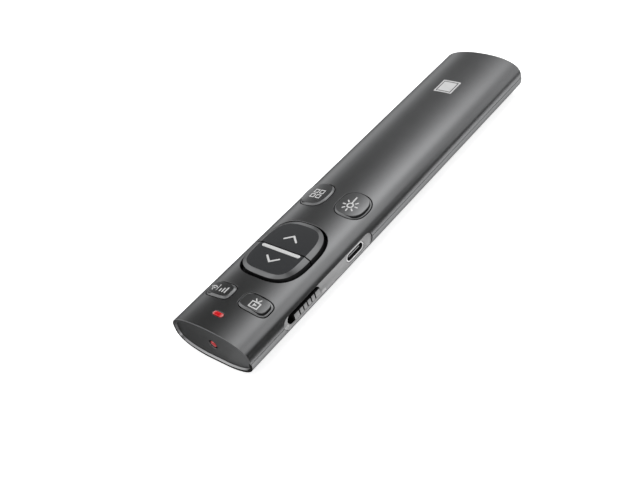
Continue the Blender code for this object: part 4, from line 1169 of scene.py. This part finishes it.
def slideRows():
    # places along the slide, how far each is below the face, and 1 where a groove face follows, black as
    # painted shade
    front, rear = fromNose(ribValues["front"]), fromNose(ribValues["rear"])
    rows = []
    for inward, down in ribValues["endRound"]:
        rows += [(front + inward * mm, down * mm, 0), (rear - inward * mm, down * mm, 0)]
    wide, narrow, depth = ribGrooves["top"] / 2, ribGrooves["floor"] / 2, ribGrooves["depth"]
    for number in range(ribGrooves["count"]):
        y = fromNose(ribGrooves["first"] + number * ribGrooves["pitch"])
        rows += [(y - wide, 0, 1), (y - narrow, depth, 1), (y + narrow, depth, 1), (y + wide, 0, 0)]
    return sorted(rows)


def thumbSlide():
    root, radius, rows = sliderLow.x + ribValues["root"], ribValues["edgeRound"], slideRows()
    rings = []
    for y, down, inGroove in rows:
        shrink = 0 if inGroove else down / 2
        high, low = slotZ + ribValues["top"] - shrink, slotZ - ribValues["bottom"] + shrink
        outer = sliderHigh.x - down
        rounding = [(outer - radius * back, radius * inward) for back, inward in quarterRound(5)]
        ring = [Vector((root, y, low)), Vector((root, y, high))]
        ring += [Vector((x, y, high - inward)) for x, inward in rounding]
        ring += [Vector((x, y, low + inward)) for x, inward in reversed(rounding)]
        rings.append(ring)
    thumb = loftPiece("thumbSlide", rings, ("strip", "blackAndDeepShade"),
                      [inGroove for y, down, inGroove in rows[:-1]], 32)
    # the upper, lower and front sides are black: painted shade, partly bare black plastic
    above, below, ahead = ribValues["shadeFacing"]
    for side in thumb.data.polygons:
        if side.normal.z > above or side.normal.z < below or side.normal.y < ahead:
            side.material_index = 1
    rise, drop = ribValues["plateRise"], ribValues["plateDrop"]
    middle = ((sliderLow.y + sliderHigh.y) / 2, slotZ + (rise - drop) / 2)
    outline = pillOutline(sliderHigh.y - sliderLow.y, rise + drop, middle, 12)
    # the plate behind the slot is black: painted shade
    plate = loftPiece("slidePlate", [
        sideRing(outline, x) for x in (sliderLow.x, sliderLow.x + ribValues["plateThickness"])
    ], ("blackAndDeepShade",))
    for piece in (thumb, plate):
        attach(piece, "power_slide")
    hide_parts("power_slider")


contactValues = {
    "count": 12, "pitch": 0.45 * mm, "tipBack": 0.5 * mm, "rootBack": 3.2 * mm,
    "halfWidth": 0.13 * mm, "bottom": 0.23 * mm, "top": 0.27 * mm,  # heights from the tongue's middle
}


def portShell():
    mouth, wall = portHigh.x, portValues["wall"]
    radius, steps = portValues["mouthRound"], portValues["mouthSteps"]
    rings = [sideRing(portOutline(), portLow.x), sideRing(portOutline(), mouth - radius)]
    for step in range(1, steps + 1):
        angle = math.pi * step / steps
        outline = portOutline(-wall / 2 * (1 - math.cos(angle)))
        rings.append(sideRing(outline, mouth - radius + radius * math.sin(angle)))
    rings.append(sideRing(portOutline(-wall), portLow.x + wall))
    # the shell's inside is black: painted shade inside the port
    port = loftPiece("portShell", rings, ("nickel", "black"), [0] * (steps + 1) + [1], 40)
    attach(port, "housing")
    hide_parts("usb_shell")


def portTongue():
    # a blade with a tapered tip, and the block that it stands in
    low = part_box("usb_tongue")[0]
    tip = portHigh.x - portValues["tongueBack"]
    places = [(low.x + portValues["tongueRoot"], 0)]
    places += [(tip - back * mm, inward * mm) for back, inward in portValues["taper"]]
    rings = []
    for x, inward in places:
        across, up = portValues["tongueWidth"] / 2 - inward, portValues["tongueThickness"] / 2 - inward
        rings.append(sideRing(boxOutline((portY - across, portZ - up), (portY + across, portZ + up)), x))
    # the tongue is black back from its tip: painted shade deep in the port
    tongue = loftPiece("portTongue", rings, ("tongueGrey", "blackAndDeepShade"), [1, 0, 0])
    outline = portOutline(-portValues["wall"] - portValues["blockGap"])
    block = loftPiece("portBlock", [
        sideRing(outline, x) for x in (low.x, low.x + portValues["blockDepth"])
    ], ("black",))
    for piece in (tongue, block):
        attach(piece, "housing")
    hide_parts("usb_tongue")
    return tip


def portContacts(tip):
    # thin gold bars on both sides of the tongue
    points, faces = [], []
    half, count = contactValues["halfWidth"], contactValues["count"]
    corners = [(-half, "bottom"), (half, "bottom"), (half, "top"), (-half, "top")]
    for number in range(count):
        y = portY + (number - (count - 1) / 2) * contactValues["pitch"]
        for side in (-1, 1):
            base = len(points)
            for x in (tip - contactValues["rootBack"], tip - contactValues["tipBack"]):
                points += [(x, y + dy, portZ + side * contactValues[level]) for dy, level in corners]
            faces += [tuple(range(base, base + 4)), tuple(range(base + 4, base + 8))]
            faces += bandFaces(2, 4, base)
    contacts = makePiece("portContacts", points, faces, (finishes["gold"],))
    faceOut(contacts)
    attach(contacts, "housing")


sideStrip()
thumbSlide()
portShell()
portContacts(portTongue())


def onStrip(y, z, lift):
    return stripFace + lift, y, z


# ON behind the slot and a smaller OFF in front of it, read from the side; heights are from the widest level
switchWords = {
    "onMark": {"letters": "ON", "start": 34.1 * mm, "low": -2.05 * mm, "high": -1.25 * mm, "wide": 0.55 * mm,
               "pitch": 0.9 * mm, "line": 0.22 * mm, "corner": 0.18 * mm},
    "offMark": {"letters": "OFF", "start": 16.1 * mm, "low": -1.35 * mm, "high": -0.65 * mm, "wide": 0.4 * mm,
                "pitch": 0.62 * mm, "line": 0.15 * mm, "corner": 0.13 * mm},
}


def letterStrokes(letter, y, word):
    low, high = midZ + word["low"], midZ + word["high"]
    end, corner, line = y + word["wide"], word["corner"], word["line"]
    if letter == "O":
        ring = [(y, low + corner), (y + corner, low), (end - corner, low), (end, low + corner),
                (end, high - corner), (end - corner, high), (y + corner, high), (y, high - corner)]
        return [(ring, line, True)]
    if letter == "N":
        return [([(y, low), (y, high), (end, low), (end, high)], line, False)]
    # the F's upright and top arm in one stroke, and its shorter middle arm
    middle, short = (low + high) / 2, y + word["wide"] * 0.8
    return [([(y, low), (y, high), (end, high)], line, False),
            ([(y + line, middle), (short, middle)], line, False)]


def switchMarks():
    for name, word in switchWords.items():
        strokes = []
        for number, letter in enumerate(word["letters"]):
            strokes += letterStrokes(letter, fromNose(word["start"] + number * word["pitch"]), word)
        printedMark(name, strokes, onStrip, "housing")


switchMarks()
print("side made")


# CAD pieces that keep their shape: the finish and the nodes that wear it

keptNodes = {
    "white": ("battery_socket", "status_led"),
    "brass": ("laser_barrel",),
    "clear": ("laser_lens",),
    "steel": ("laser_diode", "radio_can", "slide_switch", "case_screw_1", "case_screw_2", "case_screw_3",
              "case_screw_4"),
    "board": ("circuit_board",),
    "black": ("controller_chip", "charger_chip", "page_up_switch", "page_down_switch", "signal_switch",
              "screen_switch", "menu_switch", "laser_switch", "switch_lever", "battery_lead_black"),
    "silicone": ("key_mat",),
    "foil": ("battery",),
    "foam": ("battery_foam",),
    "redLead": ("battery_lead_red",),
    "red": ("status_light",),
}
for finish, nodes in keptNodes.items():
    for node in nodes:
        piece = frame["nodes"][node]
        piece.data.materials.clear()
        piece.data.materials.append(finishes[finish])


# floor, lights and camera

studio = {
    "floorSize": 3.0, "floorColour": 0.82, "floorGlow": 0.66, "floorInGloss": 0.93,
    "skyStrength": 0.75, "canopyRadius": 1.2, "canopyAround": 180, "canopyUp": 14, "canopyCrown": 89,
    "cardLevel": 0.3 * mm, "overheadSize": 0.8, "overheadPower": 6.0, "overheadPlace": (-0.15, 0.35, 1.1),
}
# soft windows in the canopy: azimuth from +X towards +Y, elevation, reach and softness, all in degrees,
# and strength
windows = {
    "rear": (90, 57, 12, 26, 3.1),
    "right": (30, 42, 17, 8, 1.1),
    "top": (-20, 80, 12, 9, 0.9),
    "front": (-95, 56, 32, 10, 0.75),
    "left": (-157, 44, 14, 9, 1.25),
    "lowLeft": (144, 1, 20, 9, 2.0),
    "rim": (-32, 8, 10, 6, 2.0),
    "middle": (122, 28, 12, 12, 0.30),
}
# the canopy's lower edge, as azimuth and elevation: it comes down to the floor at the right and the far left
canopyEdge = ((-180, 36), (-150, 36), (-90, 28), (-50, 22), (-32, -8), (32, -8), (44, 22), (64, 38), (90, 28),
              (110, 26), (124, -8), (165, -8), (176, 32), (180, 36))
# painted shadow: dark cards on the floor that stand for the object's shadow in the paint's reflections;
# brightness, and corners in mm
reflectedShadowCards = {
    "rightFront": (0.09, ((23.5, -300), (500, -300), (500, 20), (26.5, 20), (24, -60))),
    "rightMiddle": (0.13, ((26.5, 20), (500, 20), (500, 80), (29.5, 80))),
    "rightRear": (0.22, ((29.5, 80), (500, 80), (500, 150), (31, 150))),
    "farRear": (0.35, ((31, 150), (500, 150), (500, 500), (31, 500))),
    "left": (0.11, ((-42, -76), (-15, -76), (-15, 90), (-42, 90))),
    "farLeft": (0.50, ((-300, -81), (-42, -81), (-42, 300), (-300, 300))),
    "frontLeft": (0.22, ((-45, -106), (-17, -106), (-17, -76), (-45, -76))),
    "frontInner": (0.26, ((-17, -106), (-10, -106), (-10, -76), (-17, -76))),
    "frontMiddle": (0.32, ((-10, -106), (-4, -106), (-4, -76), (-10, -76))),
    "frontNear": (0.42, ((-4, -106), (2, -106), (2, -76), (-4, -76))),
    "frontRight": (0.58, ((2, -106), (34, -106), (14, -79.5), (2, -79.5))),
}


def seenPlainly(tree):
    # 1 for the rays that show the background: camera, gloss and glass
    light = addNode(tree, "LightPath")
    seen = light.outputs["Is Camera Ray"]
    for ray in ("Is Glossy Ray", "Is Transmission Ray"):
        seen = addNode(tree, "Math", {0: seen, 1: light.outputs[ray]}, operation="MAXIMUM").outputs[0]
    return seen, light


def makeFloor():
    half = studio["floorSize"] / 2
    floor = makePiece("floor", flatRing(boxOutline((-half, -half), (half, half)), 0), [(0, 1, 2, 3)])
    finish = bpy.data.materials.new("paleFloor")
    finish.use_nodes = True
    tree = finish.node_tree
    # the camera sees white paper that still takes the object's shadow, and a gloss sees it as pale grey
    seen, light = seenPlainly(tree)
    level = addNode(tree, "Mix", {
        0: light.outputs["Is Camera Ray"], 2: studio["floorInGloss"], 3: studio["floorGlow"],
    }, data_type="FLOAT")
    strength = addNode(tree, "Math", {0: seen, 1: level.outputs[0]}, operation="MULTIPLY")
    feed(tree.nodes["Principled BSDF"], {
        "Base Color": (studio["floorColour"],) * 3 + (1,), "Roughness": 0.9,
        "Emission Color": (1, 1, 1, 1), "Emission Strength": strength.outputs[0],
    })
    floor.data.materials.append(finish)


def glowFinish(name):
    # a material that only glows, and the node that says its colour and strength
    finish = bpy.data.materials.new(name)
    finish.use_nodes = True
    tree = finish.node_tree
    tree.nodes.clear()
    glow = addNode(tree, "Emission")
    addNode(tree, "OutputMaterial", {"Surface": glow.outputs[0]})
    return finish, glow


def onlyInGloss(thing):
    thing.visible_camera = False
    thing.visible_diffuse = False
    thing.visible_transmission = False
    thing.visible_shadow = False


def towards(azimuth, elevation):
    # the direction for two angles in degrees
    turn, rise = math.radians(azimuth), math.radians(elevation)
    return Vector((math.cos(rise) * math.cos(turn), math.cos(rise) * math.sin(turn), math.sin(rise)))


def canopyFoot(azimuth):
    for (start, low), (end, high) in zip(canopyEdge, canopyEdge[1:]):
        if start <= azimuth <= end:
            return low + (high - low) * (azimuth - start) / (end - start)


def canopyLight(tree):
    # the windows' light, added up for the direction of each point
    place = addNode(tree, "NewGeometry")
    outward = addNode(tree, "VectorMath", {0: place.outputs["Position"]}, operation="NORMALIZE")
    total = 0
    for azimuth, elevation, reach, softness, strength in windows.values():
        middle = towards(azimuth, elevation)
        facing = addNode(tree, "VectorMath", {0: outward.outputs[0], 1: middle}, operation="DOT_PRODUCT")
        away = addNode(tree, "Math", {0: facing.outputs["Value"]}, operation="ARCCOSINE")
        edge = addNode(tree, "MapRange", {
            "Value": away.outputs[0], "To Min": 0, "To Max": strength,
            "From Min": math.radians(reach + softness), "From Max": math.radians(reach - softness),
        }, interpolation_type="SMOOTHSTEP")
        total = addNode(tree, "Math", {0: total, 1: edge.outputs["Result"]}, operation="ADD").outputs[0]
    return total


def makeCanopy():
    # a dark canopy with soft windows, there only for the gloss of the paint
    around, up, crown = studio["canopyAround"], studio["canopyUp"], studio["canopyCrown"]
    points = []
    for row in range(up + 1):
        for step in range(around):
            azimuth = -180 + 360 * step / around
            foot = canopyFoot(azimuth)
            points.append(studio["canopyRadius"] * towards(azimuth, foot + (crown - foot) * row / up))
    faces = bandFaces(up + 1, around) + [tuple(range(up * around, (up + 1) * around))]
    finish, cloth = glowFinish("canopyCloth")
    feed(cloth, {"Strength": canopyLight(finish.node_tree)})
    onlyInGloss(makePiece("lightCanopy", points, faces, (finish,)))


def makeShadowCards():
    # painted shadow: dark cards just over the table, also there only for the gloss
    for name, (grey, corners) in reflectedShadowCards.items():
        finish, glow = glowFinish(name + "ShadowCardGrey")
        feed(glow, {"Color": (grey, grey, grey, 1)})
        points = [(x * mm, y * mm, studio["cardLevel"]) for x, y in corners]
        onlyInGloss(makePiece(name + "ShadowCard", points, [tuple(range(len(points)))], (finish,)))


def makeSky():
    world = bpy.data.worlds.new("studioSky")
    bpy.context.scene.world = world
    world.use_nodes = True
    tree = world.node_tree
    tree.nodes.clear()
    plain, white = (
        addNode(tree, "Background", {"Color": (1, 1, 1, 1), "Strength": strength})
        for strength in (studio["skyStrength"], 1.0)
    )
    mix = addNode(tree, "MixShader", {"Fac": seenPlainly(tree)[0], 1: plain.outputs[0], 2: white.outputs[0]})
    addNode(tree, "OutputWorld", {"Surface": mix.outputs[0]})


def makeOverhead():
    lamp = bpy.data.lights.new("overhead", "AREA")
    lamp.shape = "DISK"
    lamp.size = studio["overheadSize"]
    lamp.energy = studio["overheadPower"]
    place = Vector(studio["overheadPlace"])
    holder = bpy.data.objects.new("overhead", lamp)
    holder.location = place
    holder.rotation_euler = (-place).to_track_quat("-Z", "Y").to_euler()  # it looks at the middle
    holder.visible_glossy = False
    bpy.context.scene.collection.objects.link(holder)


cameraValues = {"place": (176.62 * mm, -175.97 * mm, 191.80 * mm), "azimuth": 49.70, "elevation": 38.77,
                "roll": -17.52, "lens": 50.72, "sensor": 36, "clipStart": 0.01}


def makeCamera():
    # the azimuth is 0 in front of the nose, and turns towards +X
    azimuth, elevation, roll = (math.radians(cameraValues[key]) for key in ("azimuth", "elevation", "roll"))
    back = Vector((math.sin(azimuth) * math.cos(elevation), -math.cos(azimuth) * math.cos(elevation),
                   math.sin(elevation)))
    level = Vector((math.cos(azimuth), math.sin(azimuth), 0))
    upright = back.cross(level)
    right = level * math.cos(roll) + upright * math.sin(roll)
    up = upright * math.cos(roll) - level * math.sin(roll)
    lens = bpy.data.cameras.new("camera")
    lens.lens = cameraValues["lens"]
    lens.sensor_width = cameraValues["sensor"]
    lens.clip_start = cameraValues["clipStart"]
    camera = bpy.data.objects.new("camera", lens)
    turn = Matrix((right, up, back)).transposed()
    camera.matrix_world = Matrix.Translation(cameraValues["place"]) @ turn.to_4x4()
    bpy.context.scene.collection.objects.link(camera)
    bpy.context.scene.camera = camera


makeFloor()
makeCanopy()
makeShadowCards()
makeSky()
makeOverhead()
makeCamera()
bpy.context.scene.view_settings.view_transform = "Standard"
print("studio set")
